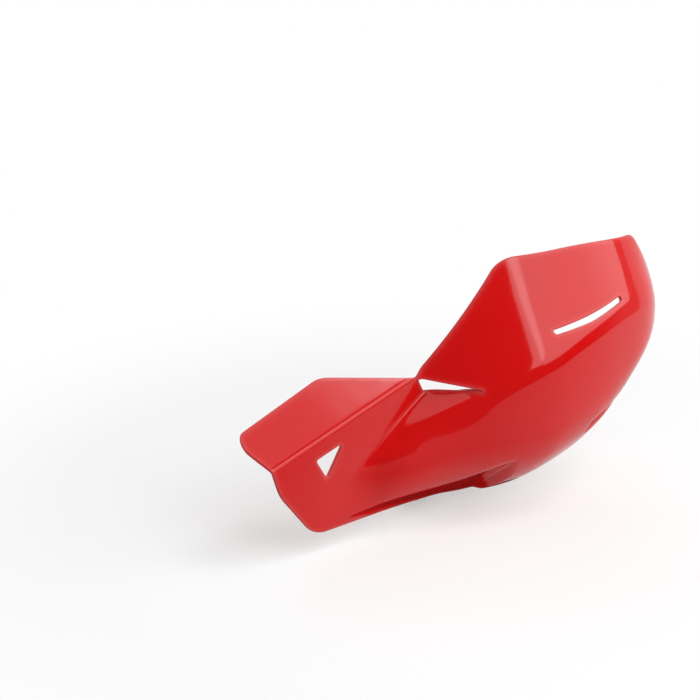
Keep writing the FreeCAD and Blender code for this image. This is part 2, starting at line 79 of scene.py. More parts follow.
Stations = tuple[tuple[float, ...], ...]
Corners = tuple[tuple[float, float, float], ...]
Rows = list[tuple[Array | float, float]]


class Body(Enum):
    """Rigid bodies of the frame that pieces ride on."""

    BAR_MOUNT = "bar_mount"
    LINK = "link"
    GUARD = "guard"


class Slot(Enum):
    """Material slots of the record."""

    RED = "red_plastic"
    BLACK = "black_plastic"
    STEEL = "steel"
    BRIGHT = "bright_nut"
    BRASS = "brass"


# Meshes from arrays


def new_mesh(name: str, points: Array, quads: Array, triangles: Array | None = None) -> bpy.types.Mesh:
    """Mesh of quads and triangles over an array of points.

    Args:
        name: name of the mesh.
        points: places in metres, one row each.
        quads: corner numbers, four in a row.
        triangles: corner numbers, three in a row.

    Returns:
        The smooth-shaded mesh.
    """
    triangles = np.zeros((0, 3), int) if triangles is None else triangles
    corners = np.concatenate([quads.ravel(), triangles.ravel()]).astype(np.int32)
    sizes = np.concatenate([np.full(len(quads), 4), np.full(len(triangles), 3)])
    starts = np.concatenate([[0], np.cumsum(sizes)[:-1]]).astype(np.int32)
    mesh = bpy.data.meshes.new(name)
    mesh.vertices.add(len(points))
    mesh.vertices.foreach_set("co", points.astype(np.float32).ravel())
    mesh.loops.add(len(corners))
    mesh.loops.foreach_set("vertex_index", corners)
    mesh.polygons.add(len(sizes))
    mesh.polygons.foreach_set("loop_start", starts)
    mesh.update(calc_edges=True)
    mesh.validate()
    mesh.shade_smooth()
    return mesh


def set_layer(mesh: bpy.types.Mesh, name: str, values: Array) -> None:
    """Writes one number for each point of a mesh as a named attribute."""
    layer = mesh.attributes.new(name, "FLOAT", "POINT")
    layer.data.foreach_set("value", values.astype(np.float32).ravel())


def shaded(name: str, shape: bmesh.types.BMesh, sharp: float = SHARP) -> bpy.types.Mesh:
    """Mesh of an edited shape, smooth but for its sharp edges.

    Args:
        name: name of the mesh.
        shape: the shape, which is freed.
        sharp: angle between faces from which an edge is sharp.

    Returns:
        The mesh.
    """
    mesh = bpy.data.meshes.new(name)
    shape.to_mesh(mesh)
    shape.free()
    mesh.shade_smooth()
    mesh.set_sharp_from_angle(angle=sharp)
    return mesh


def grid_quads(rows: int, columns: int, closed_rows: bool = False, closed_columns: bool = True) -> Array:
    """Quads between neighbouring points of a grid.

    Args:
        rows: number of rows of points.
        columns: number of points in a row.
        closed_rows: whether the last row joins the first.
        closed_columns: whether the last column joins the first.

    Returns:
        Corner numbers, four in a row.
    """
    row = np.arange(rows if closed_rows else rows - 1)[:, None]
    column = np.arange(columns if closed_columns else columns - 1)[None, :]
    below = row * columns
    above = (row + 1) % rows * columns
    beside = (column + 1) % columns
    quads = [below + column, below + beside, above + beside, above + column]
    return np.stack(quads, -1).reshape(-1, 4)


def outward(points: Array, quads: Array) -> Array:
    """Quads of a closed surface, turned so that its enclosed volume is positive.

    Args:
        points: places, one row each.
        quads: corner numbers, four in a row.

    Returns:
        The quads, reversed where the surface was inside out.
    """
    a, b, c, d = (points[quads[:, k]] for k in range(4))
    volume = (a * (np.cross(b, c) + np.cross(c, d))).sum()
    return quads if volume > 0 else quads[:, ::-1]


def new_object(name: str, data: bpy.types.ID) -> bpy.types.Object:
    """Object of the scene for a mesh, lamp or camera.

    Args:
        name: name of the object.
        data: what it shows.

    Returns:
        The object, at the origin.
    """
    made = bpy.data.objects.new(name, data)
    bpy.context.scene.collection.objects.link(made)
    return made


def place(mesh: bpy.types.Mesh, body: Body, slot: Slot, *nodes: str) -> bpy.types.Object:
    """Dressed object for a mesh that stands for some nodes and moves with their body.

    Args:
        mesh: finished mesh in the row's frame.
        body: body that it rides on.
        slot: record slot, whose finish it takes.
        nodes: nodes that it replaces.

    Returns:
        The placed object.
    """
    piece = new_object(mesh.name, mesh)
    mesh.materials.clear()
    mesh.materials.append(bpy.data.materials[FINISHES[slot].name])
    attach(piece, body.value)
    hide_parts(*nodes)
    LOG.info("%s stands for %s with %d faces", piece.name, ", ".join(nodes), len(mesh.polygons))
    return piece


# Shader effects shared by the finishes


class Effect(Enum):
    """Node groups that more than one finish places."""

    GRAIN = "surface_grain"
    DRIFT = "tone_drift"
    MARKS = "handling_marks"


class Tree:
    """Short ways to add and join the nodes of one tree."""

    def __init__(self, tree: bpy.types.NodeTree) -> None:
        """Keeps the tree that the nodes go into."""
        self.tree = tree

    def fill(self, node: bpy.types.Node, values: dict[str | int, object]) -> bpy.types.Node:
        """Gives a node's inputs plain values, or joins them to other nodes' outputs.

        Args:
            node: node of this tree.
            values: numbers, colours or output sockets, by input name or number.

        Returns:
            The same node.
        """
        for key, value in values.items():
            if isinstance(value, bpy.types.NodeSocket):
                self.tree.links.new(value, node.inputs[key])
            else:
                node.inputs[key].default_value = value
        return node

    def add(self, kind: str, values: dict[str | int, object] | None = None,
            **settings: object) -> bpy.types.Node:
        """New node with its settings and inputs.

        Args:
            kind: node type.
            values: numbers, colours or output sockets, by input name or number.
            settings: properties of the node.

        Returns:
            The node.
        """
        node = self.tree.nodes.new(kind)
        for key, value in settings.items():
            setattr(node, key, value)
        return self.fill(node, values or {})

    def spot(self) -> bpy.types.NodeSocket:
        """Object coordinates."""
        return self.add("ShaderNodeTexCoord").outputs["Object"]

    def noise(self, spot: object, scale: object, detail: float) -> bpy.types.NodeSocket:
        """Noise value at each place."""
        return self.add("ShaderNodeTexNoise", {"Vector": spot, "Scale": scale, "Detail": detail}).outputs[0]

    def ramp(self, value: object, ends: tuple[float, float], **settings: object) -> bpy.types.NodeSocket:
        """Value stretched so that the two ends become nought and one, and held there beyond them."""
        values = {"Value": value, "From Min": ends[0], "From Max": ends[1]}
        return self.add("ShaderNodeMapRange", values, **settings).outputs[0]

    def mix(self, share: object, first: object, second: object) -> bpy.types.NodeSocket:
        """Colour between two colours."""
        values = {"Factor": share, "A": first, "B": second}
        return self.add("ShaderNodeMix", values, data_type="RGBA").outputs["Result"]

    def math(self, operation: str, first: object, second: object) -> bpy.types.NodeSocket:
        """Result socket of one sum on two numbers or sockets."""
        return self.add("ShaderNodeMath", {0: first, 1: second}, operation=operation).outputs[0]

    def effect(self, effect: Effect, values: dict[str, object]) -> bpy.types.Node:
        """Placed copy of a shared group with its own values."""
        return self.add("ShaderNodeGroup", values, node_tree=bpy.data.node_groups[effect.value])


def new_group(effect: Effect, inputs: dict[str, tuple[str, object]], outputs: dict[str, str]) -> Tree:
    """Empty shared group with named sockets.

    Args:
        effect: which effect it holds.
        inputs: socket type and default by name.
        outputs: socket type by name.

    Returns:
        Its tree, with the group's input and output nodes added.
    """
    group = bpy.data.node_groups.new(effect.value, "ShaderNodeTree")
    for name, (kind, value) in inputs.items():
        group.interface.new_socket(name, in_out="INPUT", socket_type=kind).default_value = value
    for name, kind in outputs.items():
        group.interface.new_socket(name, in_out="OUTPUT", socket_type=kind)
    tree = Tree(group)
    tree.add("NodeGroupInput", name="in")
    tree.add("NodeGroupOutput", name="out")
    return tree


def build_grain(coarse: float = 0.06) -> None:
    """Fine moulded or ground grain: one noise for the texture and a weaker, coarser one for ripples.

    Args:
        coarse: scale of the ripples as a share of the texture's.
    """
    inputs = {"Scale": ("NodeSocketFloat", 800.0), "Ripple": ("NodeSocketFloat", 0.3)}
    tree = new_group(Effect.GRAIN, inputs, {"Height": "NodeSocketFloat"})
    given = tree.tree.nodes["in"].outputs
    spot = tree.spot()
    fine = tree.noise(spot, given["Scale"], detail=3.0)
    wide = tree.noise(spot, tree.math("MULTIPLY", given["Scale"], coarse), detail=1.0)
    ripple = tree.math("MULTIPLY", wide, given["Ripple"])
    tree.fill(tree.tree.nodes["out"], {"Height": tree.math("ADD", fine, ripple)})


def build_drift() -> None:
    """Slow change of brightness over a surface, as pigment and light dust give it."""
    inputs = {"Colour": ("NodeSocketColor", (0.5, 0.5, 0.5, 1)), "Amount": ("NodeSocketFloat", 0.1),
              "Scale": ("NodeSocketFloat", 20.0)}
    tree = new_group(Effect.DRIFT, inputs, {"Colour": "NodeSocketColor"})
    given = tree.tree.nodes["in"].outputs
    noise = tree.noise(tree.spot(), given["Scale"], detail=4.0)
    swing = tree.math("MULTIPLY", tree.math("SUBTRACT", noise, 0.5), given["Amount"])
    level = tree.math("ADD", tree.math("MULTIPLY", swing, 2.0), 1.0)
    tone = tree.add("ShaderNodeVectorMath", {0: given["Colour"]}, operation="SCALE")
    tree.fill(tone, {"Scale": level})
    tree.fill(tree.tree.nodes["out"], {"Colour": tone.outputs[0]})


def build_marks(stretch: tuple[float, float, float] = (0.25, 6.0, 6.0),
                peaks: tuple[float, float] = (0.56, 0.72), patch_scale: float = 25.0,
                patches: tuple[float, float] = (0.45, 0.65)) -> None:
    """Faint rubbed streaks: noise stretched along one direction, kept only where it peaks, and broken up.

    Args:
        stretch: scale of the streaks along and across themselves.
        peaks: noise values between which a streak comes up.
        patch_scale: scale of the noise that breaks the streaks up.
        patches: noise values between which that noise lets them through.
    """
    inputs = {"Scale": ("NodeSocketFloat", 60.0), "Lean": ("NodeSocketFloat", 0.6)}
    tree = new_group(Effect.MARKS, inputs, {"Mask": "NodeSocketFloat"})
    given = tree.tree.nodes["in"].outputs
    spot = tree.spot()
    turn = tree.add("ShaderNodeCombineXYZ", {"Y": given["Lean"]}).outputs[0]
    drawn = tree.add("ShaderNodeMapping", {"Vector": spot, "Rotation": turn, "Scale": stretch}).outputs[0]
    streaks = tree.ramp(tree.noise(drawn, given["Scale"], detail=2.0), peaks)
    broken = tree.ramp(tree.noise(spot, patch_scale, detail=2.0), patches)
    tree.fill(tree.tree.nodes["out"], {"Mask": tree.math("MULTIPLY", streaks, broken)})


# Finishes


def new_material(name: str) -> tuple[bpy.types.Material, Tree, bpy.types.Node]:
    """Material with a Principled surface.

    Args:
        name: name of the material.

    Returns:
        The material, its tree and the surface's node.
    """
    material = bpy.data.materials.new(name)
    material.use_nodes = True
    return material, Tree(material.node_tree), material.node_tree.nodes["Principled BSDF"]


@dataclass(frozen=True)
class Finish:
    """One finish: a Principled surface whose colour, roughness and relief come from the shared effects."""

    name: str
    colour: Colour
    roughness: float
    metallic: float = 0.0
    drift: float = 0.08
    drift_scale: float = 20.0
    marks: float = 0.1
    marks_scale: float = 60.0
    grain_scale: float = 900.0
    grain_ripple: float = 0.3
    relief: float = 0.00002
    # rim_light and rim_pale paint a paler rim: partly trimming rub, partly a painted highlight.
    rim_light: float = 0.0
    rim_pale: float = 0.35

    def build(self) -> bpy.types.Material:
        """Material of this finish.

        Returns:
            The material, with a paler rim where the finish asks for one: partly the rub of trimming, partly
            a painted highlight along the rounded rims.
        """
        material, tree, surface = new_material(self.name)
        drift = tree.effect(Effect.DRIFT, {"Colour": self.colour, "Amount": self.drift,
                                           "Scale": self.drift_scale})
        marks = tree.effect(Effect.MARKS, {"Scale": self.marks_scale})
        grain = tree.effect(Effect.GRAIN, {"Scale": self.grain_scale, "Ripple": self.grain_ripple})
        colour = drift.outputs["Colour"]
        # Painted highlight: near the rim the colour is mixed towards a paler tone, which stands for the
        # glint on the rounded rims as well as the rub of trimming.
        if self.rim_light:
            rim = tree.add("ShaderNodeAttribute", attribute_name=RIM)
            rub_and_highlight = tree.math("MULTIPLY", rim.outputs["Fac"], self.rim_light)
            pale = tuple(c + (1 - c) * self.rim_pale for c in self.colour[:3]) + (1.0,)
            colour = tree.mix(rub_and_highlight, colour, pale)
        rough = tree.math("ADD", tree.math("MULTIPLY", marks.outputs["Mask"], self.marks), self.roughness)
        bump = tree.add("ShaderNodeBump", {"Height": grain.outputs["Height"], "Distance": self.relief})
        tree.fill(surface, {"Base Color": colour, "Metallic": self.metallic, "Roughness": rough,
                            "Normal": bump.outputs["Normal"]})
        return material


FINISHES = {
    Slot.RED: Finish("red_moulded_plastic", (0.62, 0.006, 0.006, 1), 0.07, drift=0.05, drift_scale=14,
                     marks=0.06, grain_scale=500, grain_ripple=40.0, relief=0.000004, rim_light=0.12),
    Slot.BLACK: Finish("black_filled_nylon", (0.016, 0.016, 0.017, 1), 0.42, drift=0.25, drift_scale=60,
                       marks=0.15, grain_scale=1600, relief=0.00006),
    Slot.STEEL: Finish("zinc_plated_steel", (0.62, 0.61, 0.59, 1), 0.3, metallic=1.0, drift=0.12,
                       drift_scale=120, marks=0.2, marks_scale=200, grain_scale=2500),
    Slot.BRIGHT: Finish("polished_nut", (0.78, 0.77, 0.75, 1), 0.09, metallic=1.0, drift=0.06,
                        drift_scale=150, marks=0.12, marks_scale=240, grain_scale=1500, relief=0.000008),
    Slot.BRASS: Finish("turned_brass", (0.66, 0.45, 0.17, 1), 0.28, metallic=1.0, drift=0.12,
                       drift_scale=150, marks=0.15, marks_scale=240, grain_scale=2500),
}


# Shell


def soft_max(a: Array, b: Array, blend: float) -> Array:
    """Larger of two values with a parabolic join where they differ by less than the blend."""
    share = np.clip(0.5 + 0.5 * (a - b) / blend, 0.0, 1.0)
    return b + (a - b) * share + blend * share * (1 - share)


def soft_min(a: Array, b: Array, blend: float) -> Array:
    """Smaller of two values with the same rounded join."""
    return -soft_max(-a, -b, blend)


def along(stations: Stations, x: Array, column: int) -> Array:
    """Smooth curve through one column of the stations, with the slope at each taken from its neighbours.

    Args:
        stations: rows that start with x.
        x: places to read.
        column: which value of the row.

    Returns:
        The curve's values.
    """
    table = np.array(stations, float)
    at, value = table[:, 0], table[:, column]
    x = np.clip(x, at[0], at[-1])
    low = np.maximum(np.arange(len(at)) - 1, 0)
    high = np.minimum(np.arange(len(at)) + 1, len(at) - 1)
    slope = (value[high] - value[low]) / (at[high] - at[low])
    k = np.clip(np.searchsorted(at, x, side="right") - 1, 0, len(at) - 2)
    width = at[k + 1] - at[k]
    rise = value[k + 1] - value[k]
    t = (x - at[k]) / width
    bend = (1 - t) * (slope[k] * width - rise) - t * (slope[k + 1] * width - rise)
    return value[k] + t * rise + t * (1 - t) * bend


@dataclass(frozen=True)
class ShellForm:
    """Front surface of the shell: its forward distance over the front view, in millimetres from the notch.

    The ridge has the height at each x, and the lower edge the height and the forward distance. Planes have
    their slopes along x and z, and the dent and the flat also their distance at the notch.
    """

    wing_face: tuple[float, float] = (0.025, 0.03)
    wing_band: tuple[float, float] = (0.444, -1.21)
    panel_reach: float = 77.0
    panel_centre: float = 148.0
    panel_bow: float = 0.0037
    panel_lean: float = 0.506
    wrap_length: float = 79.0
    wrap_power: float = 2.7
    wrap_share: float = 0.92
    ease: float = 0.000082
    ease_from: float = 45.0
    ease_power: float = 3.0
    dent: tuple[float, float, float] = (1.298, -1.404, -27.2)
    ledge_from: tuple[float, float] = (-8.0, -30.0)
    ledge_to: tuple[float, float] = (33.0, -10.0)
    ledge_tip: float = 0.8
    ledge_soft: float = 3.0
    vent_edge: tuple[tuple[float, float], tuple[float, float]] = ((3.4, -1.9), (36.2, -8.9))
    vent_step: float = 4.0
    ridge: Stations = ((-70, -74), (-40, -55), (-10, -41.6), (20, -25.6), (50, -9.8), (80, 6), (110, 20.3),
                       (138, 29.3), (165, 35), (190, 36), (208, 34), (224, 30), (240, 28))
    lower_edge: Stations = ((-70, -98.5, -5), (-9, -100, -3), (24, -98.5, 0), (46, -102, 3),
                            (77, -103.5, 9), (101, -99.5, 11), (127, -91, 12), (153, -74, 11),
                            (173, -52.5, 10), (192, -31, 10), (209, -10.5, 10), (224, 6, 9), (240, 9, 8))
    swell: float = 2.0
    shoulder: float = 0.35
    tuck_power: float = 2.6
    tuck_ease: float = 0.6
    over_ridge: float = -0.1
    flat: tuple[float, float, float] = (0.161, 1.184, 112.8)
    flat_end: float = 58.0
    flat_end_slope: float = 2.0
    soft_wing: float = 3.0
    soft_ridge: float = 3.5
    soft_valley: float = 6.0
    soft_crest: float = 16.0
    soft_dent: float = 1.5
    probe: float = 0.6

    def panel(self, x: Array, z: Array) -> Array:
        """Panel: a parabola in plan up to its centre, then a super-ellipse round its end, leaning back.

        Args:
            x: places along the bar.
            z: heights.

        Returns:
            Forward distances, along the tangent where the super-ellipse grows too steep.
        """
        bowed = self.panel_reach - self.panel_bow * (self.panel_centre - x) ** 2
        run = np.maximum((x - self.panel_centre) / self.wrap_length, 0.0)
        share = np.minimum(run, self.wrap_share)
        round_off = np.sqrt(1 - share ** self.wrap_power)
        fall = self.wrap_power * share ** (self.wrap_power - 1) / (2 * round_off)
        wrapped = self.panel_reach * (round_off - fall * (run - share))
        return np.where(x < self.panel_centre, bowed, wrapped) - self.panel_lean * z

    def low_panel(self, x: Array, z: Array) -> Array:
        """Panel below the vent, whose bow eases off by a power law towards the wing."""
        return self.panel(x, z) + self.ease * np.maximum(self.ease_from - x, 0.0) ** self.ease_power

    def dented(self, x: Array, z: Array) -> Array:
        """Dent under the vent: a plane that tips further back above the ledge line.

        Args:
            x: places along the bar.
            z: heights.

        Returns:
            Forward distances.
        """
        run_x = self.ledge_to[0] - self.ledge_from[0]
        run_z = self.ledge_to[1] - self.ledge_from[1]
        rise = run_x * (z - self.ledge_from[1]) - run_z * (x - self.ledge_from[0])
        rise = rise / math.hypot(run_x, run_z)
        ledge = self.ledge_tip * soft_max(rise, np.zeros_like(rise), self.ledge_soft)
        return self.dent[0] * x + self.dent[1] * z + self.dent[2] - ledge

    def belly(self, x: Array, z: Array) -> Array:
        """Belly: swells below the ridge to a shoulder, then tucks back to the lower edge by a power law.

        Args:
            x: places along the bar.
            z: heights.

        Returns:
            Forward distances, with the tuck easing off below the lower edge.
        """
        ridge = along(self.ridge, x, 1)
        edge = along(self.lower_edge, x, 1)
        edge_reach = along(self.lower_edge, x, 2)
        ridge_reach = soft_min(self.low_panel(x, ridge), self.dented(x, ridge), self.soft_crest)
        shoulder = ridge - self.shoulder * (ridge - edge)
        full = ridge_reach + self.swell
        turn = np.maximum((shoulder - z) / (shoulder - edge), 0.0)
        past = np.maximum(turn - 1, 0.0)
        eased = self.tuck_power * self.tuck_ease * (1 - np.exp(-past / self.tuck_ease))
        tuck = np.minimum(turn, 1.0) ** self.tuck_power + eased
        low = edge_reach + (full - edge_reach) * (1 - tuck)
        middle = full - self.swell * ((z - shoulder) / (ridge - shoulder)) ** 2
        high = ridge_reach + self.over_ridge * (z - ridge)
        return np.where(z > ridge, high, np.where(z > shoulder, middle, low))

    def depth(self, x: Array, z: Array) -> Array:
        """Forward distance of the whole front surface, its faces joined by rounded ridges and valleys.

        Args:
            x: places along the bar.
            z: heights.

        Returns:
            Distances towards the front.
        """
        wing = soft_min(self.wing_band[0] * x + self.wing_band[1] * z,
                        self.wing_face[0] * x + self.wing_face[1] * z, self.soft_wing)
        front = self.panel(x, z)
        level = self.flat[0] * x + self.flat[1] * z + self.flat[2]
        level = level + self.flat_end_slope * np.maximum(x - self.flat_end, 0.0)
        under = soft_min(self.belly(x, z), level, self.soft_dent)
        hollowed = soft_min(self.dented(x, z), self.low_panel(x, z), self.soft_dent)
        lower = soft_min(hollowed, under, self.soft_ridge)
        upper = soft_min(front, under, self.soft_ridge)
        (start_x, start_z), (end_x, end_z) = self.vent_edge
        step_line = start_z + (end_z - start_z) * (x - start_x) / (end_x - start_x) - self.vent_step / 2
        share = np.clip((z - step_line) / self.vent_step + 0.5, 0.0, 1.0)
        share = share * share * (3 - 2 * share)
        return soft_max(wing, lower + (upper - lower) * share, self.soft_valley)

    def slope(self, x: Array, z: Array) -> tuple[Array, Array]:
        """Central differences of the depth.

        Args:
            x: places along the bar.
            z: heights.

        Returns:
            Slopes along x and along z.
        """
        across = (self.depth(x + self.probe, z) - self.depth(x - self.probe, z)) / (2 * self.probe)
        upward = (self.depth(x, z + self.probe) - self.depth(x, z - self.probe)) / (2 * self.probe)
        return across, upward


def rounded_loop(corners: Corners, spacing: float, share: float = 0.48, turn: float = 0.25) -> Array:
    """Closed loop of straight runs and tangent arcs round the corners.

    Args:
        corners: x, height and radius of each corner.
        spacing: distance between points.
        share: most of a side that a corner's arc may take.
        turn: largest angle between neighbouring points of an arc.

    Returns:
        Points of the loop, one row each.
    """
    at = np.array([c[:2] for c in corners], float)
    back = np.roll(at, 1, 0) - at
    ahead = np.roll(at, -1, 0) - at
    back_length = np.linalg.norm(back, axis=1)
    ahead_length = np.linalg.norm(ahead, axis=1)
    back /= back_length[:, None]
    ahead /= ahead_length[:, None]
    half = np.arccos(np.clip((back * ahead).sum(1), -1, 1)) / 2
    radius = np.array([c[2] for c in corners], float)
    reach = np.minimum(radius / np.tan(half), share * np.minimum(back_length, ahead_length))
    middle = back + ahead
    middle /= np.linalg.norm(middle, axis=1)[:, None]
    centre = at + middle * (reach / np.cos(half))[:, None]
    first = at + back * reach[:, None]
    last = at + ahead * reach[:, None]
    pieces = []
    for k in range(len(at)):
        sweep = math.pi - 2 * half[k]
        steps = max(2, math.ceil(reach[k] * math.tan(half[k]) * sweep / spacing), math.ceil(sweep / turn))
        t = np.linspace(0, 1, steps + 1)[:, None]
        arms = np.sin((1 - t) * sweep) * (first[k] - centre[k]) + np.sin(t * sweep) * (last[k] - centre[k])
        pieces.append(centre[k] + arms / math.sin(sweep))
        target = first[(k + 1) % len(at)]
        runs = max(1, math.ceil(np.linalg.norm(target - last[k]) / spacing))
        t = np.linspace(0, 1, runs + 1)[1:-1, None]
        pieces.append(last[k] + t * (target - last[k]))
    return np.concatenate(pieces)


def inside(points: Array, loop: Array) -> Array:
    """Even-odd test of points against a closed loop, by counting the loop's sides to the right of each.

    Args:
        points: places to test.
        loop: closed loop.

    Returns:
        One truth value for each point.
    """
    start, end = loop, np.roll(loop, -1, 0)
    x, z = points[:, :1], points[:, 1:]
    spans = (start[:, 1] > z) != (end[:, 1] > z)
    rise = np.where(end[:, 1] == start[:, 1], 1.0, end[:, 1] - start[:, 1])
    crossing = start[:, 0] + (z - start[:, 1]) * (end[:, 0] - start[:, 0]) / rise
    return ((spans & (x < crossing)).sum(1) % 2).astype(bool)


def chunked(read: Callable[[Array], Array], points: Array, parts: int = 80) -> Array:
    """Reads many places part by part, so that the tables between stay small."""
    return np.concatenate([read(part) for part in np.array_split(points, parts)])


@dataclass(frozen=True)
class GuardShell:
    """Moulded shell with rounded rims, its openings and the fixing tab, in millimetres from the notch.

    Corners have x, height and radius. The front sheet lies a hair inside the solid, by the inset.
    """

    form: ShellForm = ShellForm()
    wall: float = 3.0
    rim_round: float = 1.1
    rim_power: float = 2.6
    rim_steps: int = 5
    # Reach of the paler rim that the red finish paints: partly trimming rub, partly painted highlight.
    rub_and_highlight_reach: float = 1.0
    inset: float = 0.01
    spacing: float = 1.6
    clear_share: float = 0.7
    tolerance: float = 1e-7
    top: Corners = ((-135.5, -23, 9), (-60.5, 4.8, 30), (0.8, -0.2, 2.5), (66, 78.5, 26), (126, 83.5, 300),
                    (186.5, 80.5, 13), (210, 43, 80), (222.5, 8, 16))
    wing: Corners = ((-86, -100, 22), (-114.5, -62, 40), (-121.5, -40.5, 8))
    edge_round: float = 90.0
    openings: tuple[Corners, ...] = (
        ((-84.5, -42.5, 1.5), (-62.3, -35.1, 1.5), (-75.3, -58.3, 1.5)),
        ((3.4, -1.9, 0.8), (8.8, -12.2, 0.8), (36.2, -8.9, 0.4)),
        ((87, 29.2, 1.2), (118, 36.2, 60), (150, 44.2, 1.2), (150.5, 41, 1.2), (119, 32.2, 60),
         (89.5, 26.6, 1.2)),
        ((122, -46, 1), (154, -33.5, 60), (186, -17.5, 3.5), (186, -26, 3.5), (154, -44, 60),
         (119.5, -57, 1)),
    )
    tab: float = 5.0
    tab_radius: float = 11.0
    tab_root: float = 24.0
    tab_outboard: float = 29.3
    tab_hole: float = 4.4
    tab_round: float = 0.8
    tab_round_steps: int = 5
    tab_root_points: int = 7
    bolt_behind: float = 30.0
    bolt_below: float = 104.0

    def notch(self) -> Array:
        """Place of the notch in the row's frame, from the bracket's flange and the bolt's washer.

        Returns:
            The place in millimetres.
        """
        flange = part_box("guard_bracket")[0].x / MM
        low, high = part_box("tab_washer")
        bolt = (low + high) / (2 * MM)
        return np.array([flange - self.tab_outboard, bolt.y - self.bolt_behind, bolt.z + self.bolt_below])

    def loops(self) -> list[Array]:
        """Rim and openings, each running with the plastic on its left.

        Returns:
            Points of the rim, then of each opening.
        """
        edge = [(x, z, self.edge_round) for x, z, _ in reversed(self.form.lower_edge[2:-2])]
        rim = tuple(self.top) + tuple(edge) + tuple(self.wing)
        made = []
        for corners in (rim,) + self.openings:
            loop = rounded_loop(corners, self.spacing)
            area = (loop[:, 0] * np.roll(loop[:, 1], -1) - np.roll(loop[:, 0], -1) * loop[:, 1]).sum()
            made.append(loop if (area > 0) == (corners is rim) else loop[::-1])
        return made

    def rings(self, loop: Array) -> tuple[Array, Array]:
        """Rings that step from a loop into the plastic round a super-elliptic edge.

        Args:
            loop: points of the rim or an opening.

        Returns:
            Ring points by step and the half thickness at each step, as a share of the wall's half.
        """
        run = np.roll(loop, -1, 0) - np.roll(loop, 1, 0)
        run /= np.linalg.norm(run, axis=1)[:, None]
        inward = np.stack([-run[:, 1], run[:, 0]], 1)
        across, upward = self.form.slope(loop[:, 0], loop[:, 1])
        stretch = np.sqrt(1 + (across * inward[:, 0] + upward * inward[:, 1]) ** 2)
        angle = np.linspace(0, math.pi / 2, self.rim_steps + 1)
        power = 2 / self.rim_power
        reach = self.rim_round * (1 - np.cos(angle) ** power)
        reach[-1] = self.rim_round
        points = loop + reach[:, None, None] * (inward / stretch[:, None])
        return points, np.sin(angle) ** power

    def surface(self, flat: Array, sink: Array) -> Array:
        """Points of the shell for places of the front view, sunk square to the front surface.

        Args:
            flat: x and height of each place.
            sink: distance below the front surface.

        Returns:
            Places in millimetres from the notch.
        """
        x, z = flat[..., 0], flat[..., 1]
        across, upward = self.form.slope(x, z)
        length = np.sqrt(1 + across ** 2 + upward ** 2)
        normal = np.stack([-across, -np.ones_like(x), -upward], -1) / length[..., None]
        front = np.stack([x, -self.form.depth(x, z), z], -1)
        return front - normal * np.asarray(sink)[..., None]

    def within(self, points: Array, borders: list[Array]) -> Array:
        """Whether each place is inside the rim and outside every opening."""
        return inside(points, borders[0]) & ~np.any([inside(points, border) for border in borders[1:]], 0)

    def fill(self, borders: list[Array]) -> tuple[Array, Array, Array]:
        """Triangles over a triangular lattice that fill the front view between the innermost rings.

        Args:
            borders: innermost ring of the rim, then of each opening.

        Returns:
            Places, triangles and the distance of each place from the nearest ring.
        """
        ring = np.concatenate(borders)
        low, high = ring.min(0), ring.max(0)
        rows = np.arange(low[1], high[1], self.spacing * math.sqrt(3) / 2)
        columns = np.arange(low[0], high[0], self.spacing)
        shift = np.where(np.arange(len(rows)) % 2, self.spacing / 2, 0.0)
        x, z = np.broadcast_arrays(columns[None] + shift[:, None], rows[:, None])
        lattice = np.stack([x, z], -1).reshape(-1, 2)
        lattice = lattice[chunked(lambda part: self.within(part, borders), lattice)]
        gap = chunked(lambda part: np.linalg.norm(part[:, None] - ring, axis=-1).min(1), lattice)
        clear = gap > self.clear_share * self.spacing
        places = np.concatenate([ring, lattice[clear]])
        starts = np.cumsum([0] + [len(b) for b in borders])
        sides = [np.stack([np.arange(len(b)), (np.arange(len(b)) + 1) % len(b)], 1) + s
                 for b, s in zip(borders, starts)]
        corners = [Vector(p) for p in places.tolist()]
        result = delaunay_2d_cdt(corners, np.concatenate(sides).tolist(), [], 0, self.tolerance)
        source = np.array([given[0] for given in result[3]])
        triangles = source[np.array(result[2])]
        middle = places[triangles].mean(1)
        keep = chunked(lambda part: self.within(part, borders), middle)
        triangles = triangles[keep]
        a, b, c = (places[triangles[:, k]] for k in range(3))
        flipped = (b[:, 0] - a[:, 0]) * (c[:, 1] - a[:, 1]) - (b[:, 1] - a[:, 1]) * (c[:, 0] - a[:, 0]) < 0
        triangles[flipped] = triangles[flipped][:, ::-1]
        return places, triangles, np.concatenate([np.zeros(len(ring)), gap[clear]])

    def skin(self) -> tuple[Array, Array, Array, Array]:
        """Closed skin of the shell: front and back sheets joined by the rounded rims.

        Returns:
            Places, quads of the rims, triangles of the sheets and the rim value of each place.
        """
        ringed = [self.rings(loop) for loop in self.loops()]
        places, triangles, gap = self.fill([points[-1] for points, _ in ringed])
        count = len(places)
        half = self.wall / 2
        front_sheet = self.surface(places, np.full(count, self.inset))
        sheets = [front_sheet, self.surface(places, np.full(count, self.wall))]
